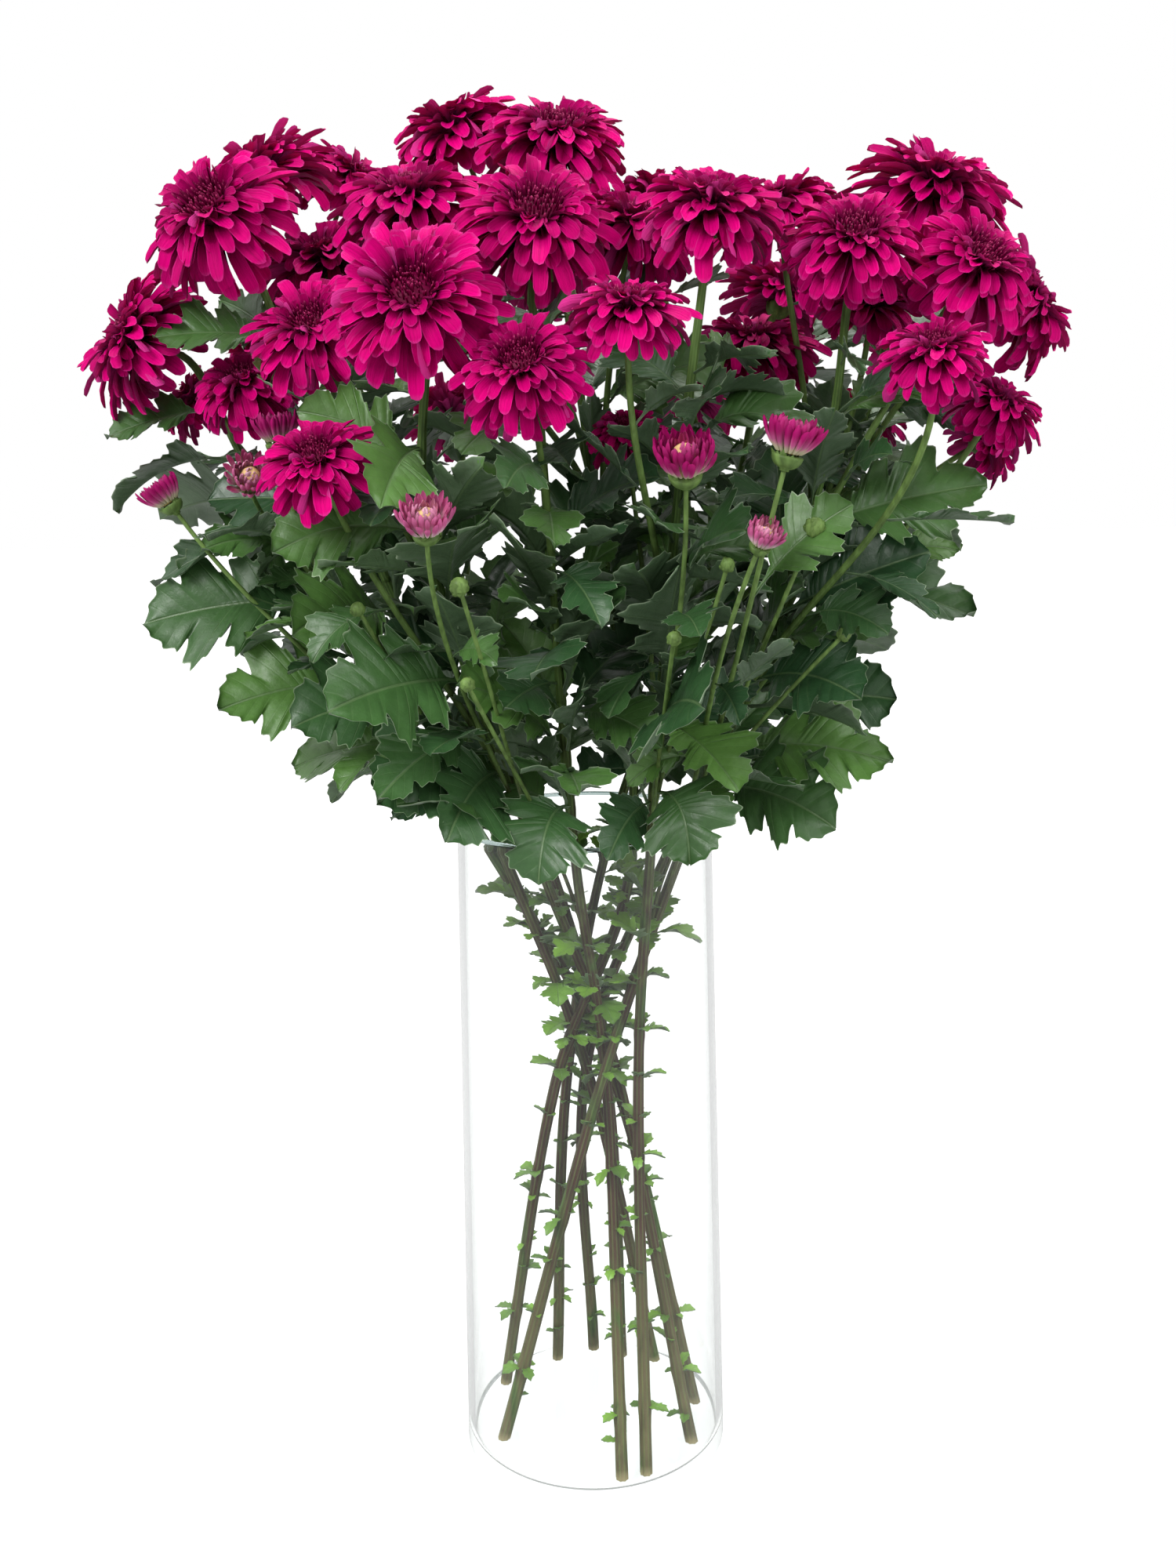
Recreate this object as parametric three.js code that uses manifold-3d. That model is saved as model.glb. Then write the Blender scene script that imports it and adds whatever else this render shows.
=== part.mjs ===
// Ten stems of spray chrysanthemums in a tall clear glass cylinder jar.
//
// Millimetres, +Z up, origin at the centre of the jar's underside, -Y towards the viewer.
// The jar is a turned glass wall with a thick foot. Each stem stands on the jar's floor, crosses the
// others at a narrow waist, leans on the mouth and fans out into side shoots. A stem is one solid with
// its shoots, calyxes, leaves and green buds. Every open bloom and half-open bud is a solid of its own,
// seated in the calyx cup at the end of its shoot.
import * as THREE from "three";
import { mergeVertices } from "three/addons/utils/BufferGeometryUtils.js";
import Module from "manifold-3d";

const wasm = await Module();
wasm.setup();

// ---------------------------------------------------------------- driving dimensions
const JAR = { radius: 75, height: 358, wall: 4, floor: 10, foot: 3, sides: 30 };
const SEAT_GAP = 0.3; // between parts that touch, and under a stem's cut end
const SMALLEST = 0.05; // the finest sliver that is kept where pieces of a stem run into each other
const CLEAR = 0.35; // least gap between a leaf and anything that is not its own stem

const STEM = { foot: 3.3, tip: 2.1, sides: 6, steps: 10 };
const SHOOT = { root: 2.0, tip: 1.5, sides: 4, steps: 4, neck: 26 };
const CALYX = { bloom: { width: 0.26, depth: 0.18 }, bud: { width: 0.62, depth: 0.5 } }; // of the head's radius
const BLADE = { rib: 1.7, stalk: 2.4 }; // thickness at the midrib and at the leaf stalk

const WAIST = 205; // height where the stems cross
const MOUTH = 350; // height where they lean on the mouth of the jar

// ---------------------------------------------------------------- where things are
// foot, waist and mouth are [x, y] at the jar's floor, at the waist and at the mouth. shoulder is the
// point where the side shoots begin. heads lists what the stem bears; the first head ends the stem
// itself and the others end shoots that leave it at the given share of its length.
const STEMS = {
  a: { foot: [-56, 29], waist: [-20, -10], mouth: [28, -23], shoulder: [8, -26, 560] },
  b: { foot: [-53, -24], waist: [5, -22], mouth: [58, -20], shoulder: [128, -66, 540] },
  c: { foot: [-24, 53], waist: [-13, 7], mouth: [20, 48], shoulder: [92, 72, 520] },
  d: { foot: [-1, 63], waist: [-2, 17], mouth: [58, 15], shoulder: [150, 0, 540] },
  e: { foot: [38, 50], waist: [0, 1], mouth: [-48, -28], shoulder: [-128, -40, 550] },
  f: { foot: [14, -61], waist: [10, -11], mouth: [-5, -60], shoulder: [-16, -92, 540] },
  g: { foot: [27, -57], waist: [28, -20], mouth: [36, -52], shoulder: [52, -96, 540] },
  h: { foot: [54, -30], waist: [17, -1], mouth: [-28, -40], shoulder: [-76, -104, 520] },
  i: { foot: [60, 6], waist: [13, 8], mouth: [-60, -8], shoulder: [-176, -14, 540] },
  j: { foot: [17, 55], waist: [9, 23], mouth: [-32, 50], shoulder: [-92, 88, 530] },
};

// Open blooms: stem, centre, radius, and the way the bloom faces.
const BLOOMS = {
  bloom_01: { stem: "e", at: [-195, -60, 705], radius: 39, faces: [-0.35, -0.7, 0.62] },
  bloom_02: { stem: "e", at: [-186, 24, 741], radius: 33, faces: [-0.45, -0.15, 0.88], leaves: 0.74 },
  bloom_03: { stem: "j", at: [-142, 76, 748], radius: 28, faces: [0.5, -0.2, 0.84], leaves: 0.7 },
  bloom_04: { stem: "i", at: [-250, -20, 642], radius: 37, faces: [-0.8, -0.35, 0.48] },
  bloom_05: { stem: "e", at: [-146, 4, 688], radius: 29, faces: [-0.1, -0.4, 0.91], leaves: 0.7 },
  bloom_06: { stem: "h", at: [-137, -92, 637], radius: 31, faces: [-0.2, -0.7, 0.7], leaves: 0.7 },
  bloom_07: { stem: "h", at: [-76, -160, 645], radius: 37, faces: [-0.05, -0.86, 0.5] },
  bloom_08: { stem: "a", at: [-87, -60, 709], radius: 38, faces: [-0.1, -0.35, 0.93], leaves: 0.72 },
  bloom_09: { stem: "a", at: [-70, 33, 769], radius: 34, faces: [-0.35, -0.2, 0.91], leaves: 0.74 },
  bloom_10: { stem: "a", at: [-9, -30, 749], radius: 38, faces: [0.08, -0.5, 0.86] },
  bloom_11: { stem: "f", at: [-18, -120, 688], radius: 37, faces: [0.1, -0.68, 0.72] },
  bloom_12: { stem: "f", at: [-24, -172, 610], radius: 29, faces: [-0.15, -0.72, 0.68], leaves: 0.64 },
  bloom_13: { stem: "a", at: [33, -56, 695], radius: 31, faces: [0.2, -0.35, 0.9], leaves: 0.68 },
  bloom_14: { stem: "g", at: [71, -120, 692], radius: 34, faces: [0.1, -0.35, 0.93] },
  bloom_15: { stem: "g", at: [27, -170, 636], radius: 26, faces: [0.05, -0.3, 0.95], leaves: 0.68 },
  bloom_16: { stem: "b", at: [143, -122, 674], radius: 33, faces: [0.0, -0.62, 0.78] },
  bloom_17: { stem: "d", at: [118, -28, 706], radius: 30, faces: [-0.1, -0.2, 0.97], leaves: 0.7 },
  bloom_18: { stem: "d", at: [205, -26, 718], radius: 38, faces: [0.25, -0.3, 0.92] },
  bloom_19: { stem: "b", at: [205, -118, 662], radius: 32, faces: [0.35, -0.66, 0.66], leaves: 0.7 },
  bloom_20: { stem: "d", at: [250, -38, 652], radius: 35, faces: [0.85, -0.25, 0.46], leaves: 0.66 },
  bloom_21: { stem: "b", at: [174, -162, 614], radius: 24, faces: [-0.1, -0.45, 0.89], leaves: 0.62 },
  bloom_22: { stem: "b", at: [226, -76, 592], radius: 25, faces: [0.45, -0.3, 0.84], leaves: 0.6 },
  bloom_23: { stem: "c", at: [106, 12, 632], radius: 32, faces: [0.0, -0.2, 0.98], leaves: 0.66 },
  bloom_24: { stem: "d", at: [164, -58, 648], radius: 22, faces: [0.1, -0.3, 0.95], leaves: 0.62 },
  bloom_25: { stem: "d", at: [240, 4, 575], radius: 22, faces: [0.88, 0.1, 0.46], leaves: 0.56 },
  bloom_26: { stem: "g", at: [27, -70, 582], radius: 19, faces: [-0.1, -0.4, 0.91], leaves: 0.58 },
  bloom_27: { stem: "i", at: [-186, -40, 613], radius: 24, faces: [-0.25, -0.5, 0.83], leaves: 0.7 },
  bloom_28: { stem: "i", at: [-234, 42, 610], radius: 22, faces: [-0.7, 0.1, 0.7], leaves: 0.66 },
  bloom_29: { stem: "h", at: [-125, -150, 568], radius: 26, faces: [-0.15, -0.62, 0.77], leaves: 0.56 },
  bloom_30: { stem: "c", at: [180, 52, 593], radius: 22, faces: [0.3, 0.2, 0.93], leaves: 0.6 },
  bloom_31: { stem: "j", at: [-115, 140, 690], radius: 34, faces: [-0.3, 0.5, 0.81] },
  bloom_32: { stem: "j", at: [-18, 150, 706], radius: 34, faces: [0.0, 0.5, 0.87], leaves: 0.72 },
  bloom_33: { stem: "c", at: [140, 140, 676], radius: 34, faces: [0.35, 0.5, 0.79] },
  bloom_34: { stem: "c", at: [52, 66, 728], radius: 33, faces: [0.0, 0.15, 0.99], leaves: 0.72 },
  bloom_35: { stem: "j", at: [-205, 112, 640], radius: 30, faces: [-0.6, 0.5, 0.62], leaves: 0.68 },
  bloom_36: { stem: "d", at: [222, 96, 640], radius: 30, faces: [0.6, 0.5, 0.62], leaves: 0.64 },
  bloom_37: { stem: "c", at: [86, 196, 616], radius: 29, faces: [0.25, 0.8, 0.55], leaves: 0.64 },
  bloom_38: { stem: "j", at: [-92, 196, 602], radius: 28, faces: [-0.3, 0.8, 0.52], leaves: 0.64 },
};

// Half-open buds, with the florets still upright.
const BUDS = {
  bud_1: { stem: "i", at: [-163, -64, 583], radius: 12, faces: [-0.1, -0.1, 0.99], leaves: 0.62 },
  bud_2: { stem: "e", at: [-170, -100, 560], radius: 12, faces: [0.2, -0.9, 0.39], leaves: 0.56 },
  bud_3: { stem: "i", at: [-224, -62, 550], radius: 11, faces: [-0.55, -0.1, 0.83], leaves: 0.52 },
  bud_4: { stem: "h", at: [-71, -172, 536], radius: 12, faces: [0.05, -0.62, 0.78], leaves: 0.5 },
  bud_5: { stem: "g", at: [52, -172, 562], radius: 14, faces: [-0.05, -0.55, 0.83], leaves: 0.52 },
  bud_6: { stem: "b", at: [101, -176, 570], radius: 13, faces: [0.25, -0.15, 0.96], leaves: 0.5 },
  bud_7: { stem: "b", at: [88, -168, 526], radius: 9, faces: [0.3, -0.5, 0.81], leaves: 0.46 },
};

// Closed green buds, fused to their stems.
const GREEN_BUDS = {
  b: [{ at: [116, -152, 532], radius: 5.5, leaves: 0.44 }, { at: [138, -100, 474], radius: 4, leaves: 0.42 }],
  f: [{ at: [-54, -160, 460], radius: 4, leaves: 0.42 }],
  g: [{ at: [74, -142, 514], radius: 4, leaves: 0.52 }, { at: [46, -158, 480], radius: 4, leaves: 0.44 }],
  h: [{ at: [-56, -172, 508], radius: 5, leaves: 0.44 }],
  e: [{ at: [-112, -122, 494], radius: 4, leaves: 0.46 }],
};

// Large leaves: [height on the stem, bearing, length, rise, droop, tilt]. The bearing is the way the
// leaf points seen from above, 0 to +X and -90 to the viewer. Rise is its angle above the level at the
// stem, droop the angle it has turned down by at its tip, and tilt turns its face to the viewer.
const LEAVES = {
  a: [[430, -60, 94, 62, 40, 30], [475, 130, 88, 30, 50, -30],
    [520, -110, 90, 60, 50, 30], [570, 50, 84, 30, 50, -30], [630, -25, 74, 55, 40, 40]],
  b: [[380, -40, 92, 12, 40, 50], [402, -14, 100, 12, 30, 50], [440, -50, 92, 25, 50, 45],
    [478, -24, 96, 30, 14, 55], [528, -10, 100, 20, 14, 60], [585, 20, 68, 40, 50, 20]],
  c: [[395, 60, 96, 20, 50, -30], [440, 10, 98, 20, 40, -40], [480, 120, 96, 25, 50, -40],
    [520, 30, 94, 25, 50, -40], [570, 100, 88, 25, 50, -30]],
  d: [[415, -5, 100, 20, 30, 55], [455, 30, 100, 15, 40, -30], [495, -15, 104, 0, 24, 15],
    [535, 40, 94, 20, 40, -40], [590, -25, 80, 20, 40, 50]],
  e: [[430, -150, 94, 18, 40, 50], [480, -125, 94, 25, 50, 50], [545, -155, 84, 10, 14, 50],
    [590, -100, 76, 20, 50, 30], [640, -165, 72, 10, 20, 45]],
  f: [[380, -110, 84, 15, 95, 20], [408, -140, 92, 55, 45, 45], [440, -60, 92, 62, 40, 30],
    [478, -120, 92, 62, 35, 30], [520, -30, 84, 55, 50, 40]],
  g: [[385, -65, 82, 15, 105, 30], [424, -36, 108, 28, 28, 50], [444, -128, 96, 60, 24, 40],
    [490, -60, 92, 58, 55, 40], [570, -14, 100, 50, 95, 30], [598, 150, 64, 50, 35, 40]],
  h: [[374, -158, 96, 22, 20, 20], [408, -150, 92, 15, 50, 55], [450, -172, 106, 12, 26, 55],
    [490, -80, 92, 55, 50, 30], [530, -160, 88, 20, 50, 50], [575, -130, 76, 0, 50, 50]],
  i: [[400, 165, 92, 12, 40, 45], [440, -160, 98, 10, 30, 55], [490, -175, 108, 4, 20, 55],
    [545, 150, 94, 15, 40, -40], [603, -168, 66, -5, 20, 30]],
  j: [[385, 110, 96, 20, 50, -20], [425, 160, 100, 20, 45, -45], [470, 80, 94, 25, 50, -30],
    [510, 150, 98, 20, 45, -45], [565, 120, 90, 25, 50, -30]],
};

// Sprouts on the bare stems inside the jar: [height on the stem, bearing, length].
const SPROUTS = {
  a: [[60, 170, 16], [150, -150, 18], [235, -60, 20]],
  b: [[50, -150, 15], [135, 160, 18], [270, -10, 22]],
  c: [[230, 140, 22]],
  d: [[255, 30, 22]],
  e: [[75, 40, 16], [240, -130, 26]],
  f: [[40, -140, 14], [160, -70, 20]],
  g: [[42, -20, 16], [170, -20, 18], [240, 0, 20]],
  h: [[46, -10, 15], [145, 20, 16]],
  i: [[62, 10, 15], [235, 160, 26]],
  j: [[250, 110, 22]],
};

// ---------------------------------------------------------------- colours
const PETALS = { color: 0xb5055a, roughness: 0.6, metalness: 0 };
const BUD_PETALS = { color: 0xa8467c, roughness: 0.6, metalness: 0 };
const GREENERY = { color: 0x2f5a2a, roughness: 0.55, metalness: 0 };
const GLASS = { color: 0xeaf3f2, roughness: 0.03, metalness: 0, transparent: true, opacity: 0.3 };

// ---------------------------------------------------------------- small helpers
const DEG = Math.PI / 180;
const UP = new THREE.Vector3(0, 0, 1);
const point = ([x, y, z]) => new THREE.Vector3(x, y, z);
const unit = (v) => point(v).normalize();
const mix = (a, b, t) => a + (b - a) * t;

function geometryOf(vertices, triangles) {
  return new THREE.BufferGeometry()
    .setAttribute("position", new THREE.Float32BufferAttribute(vertices.flatMap((v) => [v.x, v.y, v.z]), 3))
    .setIndex(triangles.flat());
}

function solidOf(geometry) {
  const bare = new THREE.BufferGeometry().setAttribute("position", geometry.getAttribute("position"));
  bare.setIndex(geometry.index);
  const merged = mergeVertices(bare, 1e-4);
  return new wasm.Manifold(
    new wasm.Mesh({
      numProp: 3,
      vertProperties: merged.attributes.position.array,
      triVerts: new Uint32Array(merged.index.array),
    }),
  );
}

function geometryOfSolid(solid) {
  const mesh = solid.getMesh();
  return new THREE.BufferGeometry()
    .setAttribute("position", new THREE.BufferAttribute(new Float32Array(mesh.vertProperties), 3))
    .setIndex(new THREE.BufferAttribute(new Uint32Array(mesh.triVerts), 1));
}

const boxesNear = (p, q, gap) =>
  [0, 1, 2].every((k) => p.min[k] < q.max[k] + gap && q.min[k] < p.max[k] + gap);

function isClear(solid, others, gap = CLEAR) {
  const box = solid.boundingBox();
  return others.every((other) => !boxesNear(box, other.boundingBox(), gap) || solid.minGap(other, gap) >= gap);
}

// A round tube along a curve. radiusAt gives its radius at a share of the curve.
function sweep(curve, radiusAt, sides, steps) {
  const { normals, binormals } = curve.computeFrenetFrames(steps, false);
  const vertices = [];
  for (let i = 0; i <= steps; i++) {
    const centre = curve.getPointAt(i / steps);
    for (let k = 0; k < sides; k++) {
      const turn = (k / sides) * 2 * Math.PI;
      const reach = radiusAt(i / steps);
      vertices.push(
        centre
          .clone()
          .addScaledVector(normals[i], Math.cos(turn) * reach)
          .addScaledVector(binormals[i], Math.sin(turn) * reach),
      );
    }
  }
  const triangles = [];
  for (let i = 0; i < steps; i++)
    for (let k = 0; k < sides; k++) {
      const a = i * sides + k;
      const b = i * sides + ((k + 1) % sides);
      triangles.push([a, b, a + sides], [b, b + sides, a + sides]);
    }
  const last = steps * sides;
  for (let k = 1; k < sides - 1; k++) triangles.push([0, k + 1, k], [last, last + k, last + k + 1]);
  return solidOf(geometryOf(vertices, triangles));
}

// ---------------------------------------------------------------- the jar
function jar() {
  const { radius, height, wall, floor, foot, sides } = JAR;
  const inside = radius - wall;
  const profile = [
    [0, 0],
    [radius - foot, 0],
    [radius, foot],
    [radius, height - 1],
    [radius - wall / 2, height],
    [inside, height - 1],
    [inside, floor + foot],
    [inside - foot, floor],
    [0, floor],
  ].map(([r, z]) => new THREE.Vector2(r, z));
  const turned = new THREE.LatheGeometry(profile, sides).rotateX(Math.PI / 2);
  const solid = solidOf(turned);
  return solid;
}

// ---------------------------------------------------------------- stems and shoots
// The underside of a head's calyx cup, which its shoot ends in.
const calyxOf = (head) => (head.radius < 16 ? CALYX.bud : CALYX.bloom);
function seatOf(head) {
  const depth = head.radius * (UNDERSIDE + calyxOf(head).depth) + SEAT_GAP;
  return point(head.at).addScaledVector(unit(head.faces), -depth);
}

// A stem or shoot ends halfway up the cup.
function tipOf(head) {
  return seatOf(head).addScaledVector(unit(head.faces), (head.radius * calyxOf(head).depth) / 2);
}

function stemCurve(key, head) {
  const { foot, waist, mouth, shoulder } = STEMS[key];
  const end = tipOf(head);
  const neck = end.clone().addScaledVector(unit(head.faces), -SHOOT.neck);
  const marks = [
    new THREE.Vector3(foot[0], foot[1], JAR.floor - STEM.foot),
    new THREE.Vector3(waist[0], waist[1], WAIST),
    new THREE.Vector3(mouth[0], mouth[1], MOUTH),
    point(shoulder),
    neck,
    end,
  ];
  return new THREE.CatmullRomCurve3(marks, false, "catmullrom", 0.5);
}

// The point of a stem at a height above the table.
function pointAtHeight(curve, height) {
  let [below, above] = [0, 1];
  while (above - below > 1e-4) {
    const middle = (below + above) / 2;
    if (curve.getPointAt(middle).z < height) below = middle;
    else above = middle;
  }
  return curve.getPointAt(below);
}

// The stem's foot is cut level and stands on the jar's floor.
function stemTube(curve) {
  const tube = sweep(curve, (t) => mix(STEM.foot, STEM.tip, t), STEM.sides, STEM.steps);
  return tube.trimByPlane([0, 0, 1], JAR.floor + SEAT_GAP);
}

// A shoot leaves the stem along it and comes up to its head from behind. sway moves its middle aside.
function shootCurve(stem, head, sway) {
  const seat = head.faces ? tipOf(head) : point(head.at);
  const start = stem.getPointAt(head.leaves);
  const along = stem.getTangentAt(head.leaves);
  const reach = start.distanceTo(seat);
  const arrive = head.faces ? unit(head.faces) : seat.clone().sub(start).normalize();
  const away = along.clone().multiplyScalar(0.6).addScaledVector(seat.clone().sub(start).normalize(), 0.4);
  const low = start.clone().addScaledVector(away, reach * 0.35).add(sway);
  const high = seat.clone().addScaledVector(arrive, -reach * 0.35).add(sway);
  return new THREE.CubicBezierCurve3(start, low, high, seat);
}

// The green cup that a head sits in: a low cone, wider at the top.
function calyx(head) {
  const wide = head.radius * calyxOf(head).width;
  const deep = head.radius * calyxOf(head).depth;
  const cup = new THREE.CylinderGeometry(wide, wide * 0.55, deep, 6).rotateX(Math.PI / 2);
  return placed(solidOf(cup.translate(0, 0, deep / 2)), seatOf(head), unit(head.faces));
}

// Moves a solid modelled about +Z to a place, turned to face along an axis.
function placed(solid, at, faces) {
  const turn = new THREE.Quaternion().setFromUnitVectors(UP, faces);
  return solid.transform(new THREE.Matrix4().compose(at, turn, new THREE.Vector3(1, 1, 1)).elements);
}

// A shoot that would cross a bloom or another stem sways aside until it is clear of it.
const SWAYS = [0, 12, 22, 34, 48];
const SWAY_BEARINGS = [-90, 90, 0, 180, -45, 45, -135, 135];
function clearShoot(stem, head, radiusAt, sides, steps, others) {
  for (const reach of SWAYS)
    for (const bearing of reach ? SWAY_BEARINGS : [0]) {
      const sway = new THREE.Vector3(Math.cos(bearing * DEG), Math.sin(bearing * DEG), 0);
      const tube = sweep(shootCurve(stem, head, sway.multiplyScalar(reach)), radiusAt, sides, steps);
      if (isClear(tube, others)) return tube;
    }
  return null;
}

// ---------------------------------------------------------------- blooms and buds
// A head is one skin over rings of petals. Each row of its profile holds [radius, height] on the
// lines of the even petals and on the lines of the odd ones, as shares of the head's radius. Petal
// rows stand out on one set of lines and draw in on the other, with a tucked-in row under each.
const UNDERSIDE = 0.2;
const BLOOM = {
  top: 0.36,
  rows: [
    [[0.54, 0.54], [0.38, 0.48]],
    [[0.42, 0.36], [0.32, 0.32]],
    [[0.62, 0.28], [0.83, 0.27]],
    [[0.54, 0.16], [0.64, 0.13]],
    [[1, 0], [0.78, 0.02]],
  ],
  bottom: -UNDERSIDE,
};
const BUD = {
  top: 0.85,
  rows: [
    [[0.5, 0.7], [0.42, 0.7]],
    [[0.98, 1.25], [0.8, 1.0]],
    [[0.82, 0.3], [0.72, 0.3]],
  ],
  bottom: -UNDERSIDE,
};

function petalSkin({ top, rows, bottom }, radius, petals) {
  const around = petals * 2;
  const vertices = [new THREE.Vector3(0, 0, top * radius)];
  for (const row of rows)
    for (let k = 0; k < around; k++) {
      const [r, z] = row[k % 2];
      const angle = (k / around) * 2 * Math.PI;
      vertices.push(new THREE.Vector3(r * Math.cos(angle), r * Math.sin(angle), z).multiplyScalar(radius));
    }
  vertices.push(new THREE.Vector3(0, 0, bottom * radius));
  const triangles = [];
  for (let k = 0; k < around; k++) {
    const next = (k + 1) % around;
    triangles.push([0, 1 + k, 1 + next]);
    for (let row = 0; row < rows.length - 1; row++) {
      const [a, b] = [1 + row * around + k, 1 + row * around + next];
      if (k % 2) triangles.push([a, a + around, b], [b, a + around, b + around]);
      else triangles.push([a, a + around, b + around], [a, b + around, b]);
    }
    const last = 1 + (rows.length - 1) * around;
    triangles.push([vertices.length - 1, last + next, last + k]);
  }
  return solidOf(geometryOf(vertices, triangles));
}

const bloom = ({ at, radius, faces }) =>
  placed(petalSkin(BLOOM, radius, radius < 28 ? 7 : 8), point(at), unit(faces));
const openBud = ({ at, radius, faces }) => placed(petalSkin(BUD, radius, 6), point(at), unit(faces));
const greenBud = ({ at, radius }) => solidOf(new THREE.SphereGeometry(radius, 5, 3).translate(...at));

// ---------------------------------------------------------------- leaves
// Each row across a leaf: [share of the length, half width, how far the edge is swept forward],
// all as shares of the leaf's length.
const LOBED = [
  [0, 0.018, 0],
  [0.22, 0.025, 0],
  [0.38, 0.33, 0.1],
  [0.52, 0.17, 0],
  [0.62, 0.36, 0.11],
  [0.77, 0.17, 0],
  [1, 0, 0],
];
const SIMPLE = [
  [0, 0.05, 0],
  [0.45, 0.2, 0.06],
  [1, 0, 0],
];

// A leaf: stalk and blade in one, arched over its length and folded up a little along the midrib.
function leaf(rows, start, { bearing, length, rise, droop, tilt = 0, fold = 14 }) {
  const roll = tilt * Math.sign(Math.cos(bearing * DEG));
  const out = new THREE.Vector3(Math.cos(bearing * DEG), Math.sin(bearing * DEG), 0);
  const heading = (angle) =>
    out.clone().multiplyScalar(Math.cos(angle * DEG)).addScaledVector(UP, Math.sin(angle * DEG));
  const knee = start.clone().addScaledVector(heading(rise), length / 2);
  const tip = knee.clone().addScaledVector(heading(rise - droop), length / 2);
  const spine = new THREE.QuadraticBezierCurve3(start, knee, tip);
  const vertices = [];
  rows.forEach(([share, half, sweepBy]) => {
    const centre = spine.getPoint(share);
    const along = spine.getTangent(share);
    const side = new THREE.Vector3().crossVectors(UP, out).applyAxisAngle(along, roll * DEG);
    const up = new THREE.Vector3().crossVectors(along, side).normalize();
    if (half === 0) {
      vertices.push(centre);
      return;
    }
    const thick = share < 0.3 ? BLADE.stalk : BLADE.rib;
    for (const hand of [1, -1])
      vertices.push(
        centre
          .clone()
          .addScaledVector(side, hand * half * length)
          .addScaledVector(up, half * length * Math.sin(fold * DEG))
          .addScaledVector(along, sweepBy * length),
      );
    vertices.push(centre.clone().addScaledVector(up, thick / 2), centre.clone().addScaledVector(up, -thick / 2));
  });
  // Both faces are split along the lines from the edge to the rib, so that they never cross.
  const triangles = [[0, 1, 2], [0, 3, 1]];
  const tipRow = rows.length - 1;
  for (let i = 0; i < tipRow; i++) {
    const [l, r, t, b] = [0, 1, 2, 3].map((k) => i * 4 + k);
    if (i + 1 === tipRow) {
      const end = tipRow * 4;
      triangles.push([l, t, end], [t, r, end], [r, b, end], [b, l, end]);
      continue;
    }
    const [L, R, T, B] = [l + 4, r + 4, t + 4, b + 4];
    triangles.push([l, t, T], [l, T, L], [t, r, T], [r, R, T]);
    triangles.push([r, b, B], [r, B, R], [b, l, B], [l, L, B]);
  }
  return solidOf(geometryOf(vertices, triangles));
}

// A leaf that would cross something is turned aside, lifted or shortened until it is clear of it.
const TURNS = [0, 14, -14, 28, -28, 45, -45, 65, -65];
const LIFTS = [0, 18, -18];
const SIZES = [1, 0.86, 0.72];
function clearLeaf(rows, start, wanted, others) {
  for (const size of SIZES)
    for (const lift of LIFTS)
      for (const turn of TURNS) {
        const { bearing, length, rise } = wanted;
        const tried = { ...wanted, bearing: bearing + turn, length: length * size, rise: rise + lift };
        const made = leaf(rows, start, tried);
        if (isClear(made, others)) return made;
      }
  return null;
}

// ---------------------------------------------------------------- assembly
const headsOf = (key, table) => Object.entries(table).filter(([, head]) => head.stem === key);

const glass = jar();
const blooms = Object.fromEntries(Object.entries(BLOOMS).map(([name, head]) => [name, bloom(head)]));
const buds = Object.fromEntries(Object.entries(BUDS).map(([name, head]) => [name, openBud(head)]));
const heads = { ...blooms, ...buds };

// Stems first, then the shoots, and then the leaves, each clear of all that already stands.
const curves = {};
const leafy = {};
for (const key of Object.keys(STEMS)) {
  const [, main] = headsOf(key, BLOOMS).find(([, head]) => head.leaves === undefined);
  curves[key] = stemCurve(key, main);
  leafy[key] = stemTube(curves[key]).add(calyx(main));
}
const dropped = [];
const othersThan = (key, head) => [
  glass,
  ...Object.entries(heads).filter(([name]) => name !== head).map(([, solid]) => solid),
  ...Object.entries(leafy).filter(([name]) => name !== key).map(([, solid]) => solid),
];
for (const key of Object.keys(STEMS)) {
  const side = [...headsOf(key, BLOOMS), ...headsOf(key, BUDS)].filter(([, head]) => head.leaves);
  for (const [name, head] of side) {
    const slim = head.radius < 20 ? 0.75 : 1;
    const radiusAt = (t) => slim * mix(SHOOT.root, SHOOT.tip, t);
    const tube = clearShoot(curves[key], head, radiusAt, SHOOT.sides, SHOOT.steps, othersThan(key, name));
    if (!tube) dropped.push("shoot " + name);
    leafy[key] = wasm.Manifold.union([leafy[key], tube, calyx(head)].filter(Boolean));
  }
  for (const bud of GREEN_BUDS[key] ?? []) {
    const tube = clearShoot(curves[key], bud, () => SHOOT.tip * 0.7, 4, 3, othersThan(key));
    if (tube) leafy[key] = wasm.Manifold.union([leafy[key], tube, greenBud(bud)]);
    else dropped.push("green bud " + key);
  }
}
for (const [table, rows, shape] of [[LEAVES, LOBED, "leaf"], [SPROUTS, SIMPLE, "sprout"]])
  for (const key of Object.keys(STEMS))
    table[key].forEach(([height, bearing, length, rise = 30, droop = 60, tilt = 0], n) => {
      const start = pointAtHeight(curves[key], height);
      const made = clearLeaf(rows, start, { bearing, length, rise, droop, tilt }, othersThan(key));
      if (made) leafy[key] = leafy[key].add(made);
      else dropped.push(shape + " " + key + n);
    });

const bouquet = new THREE.Group();
function addNode(name, solid, look) {
  const mesh = new THREE.Mesh(geometryOfSolid(solid), new THREE.MeshStandardMaterial({ ...look, flatShading: true }));
  mesh.name = name;
  bouquet.add(mesh);
}
addNode("jar", glass, GLASS);
for (const [key, solid] of Object.entries(leafy)) addNode("stem_" + key, solid.simplify(SMALLEST), GREENERY);
for (const [name, solid] of Object.entries(blooms)) addNode(name, solid, PETALS);
for (const [name, solid] of Object.entries(buds)) addNode(name, solid, BUD_PETALS);

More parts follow.
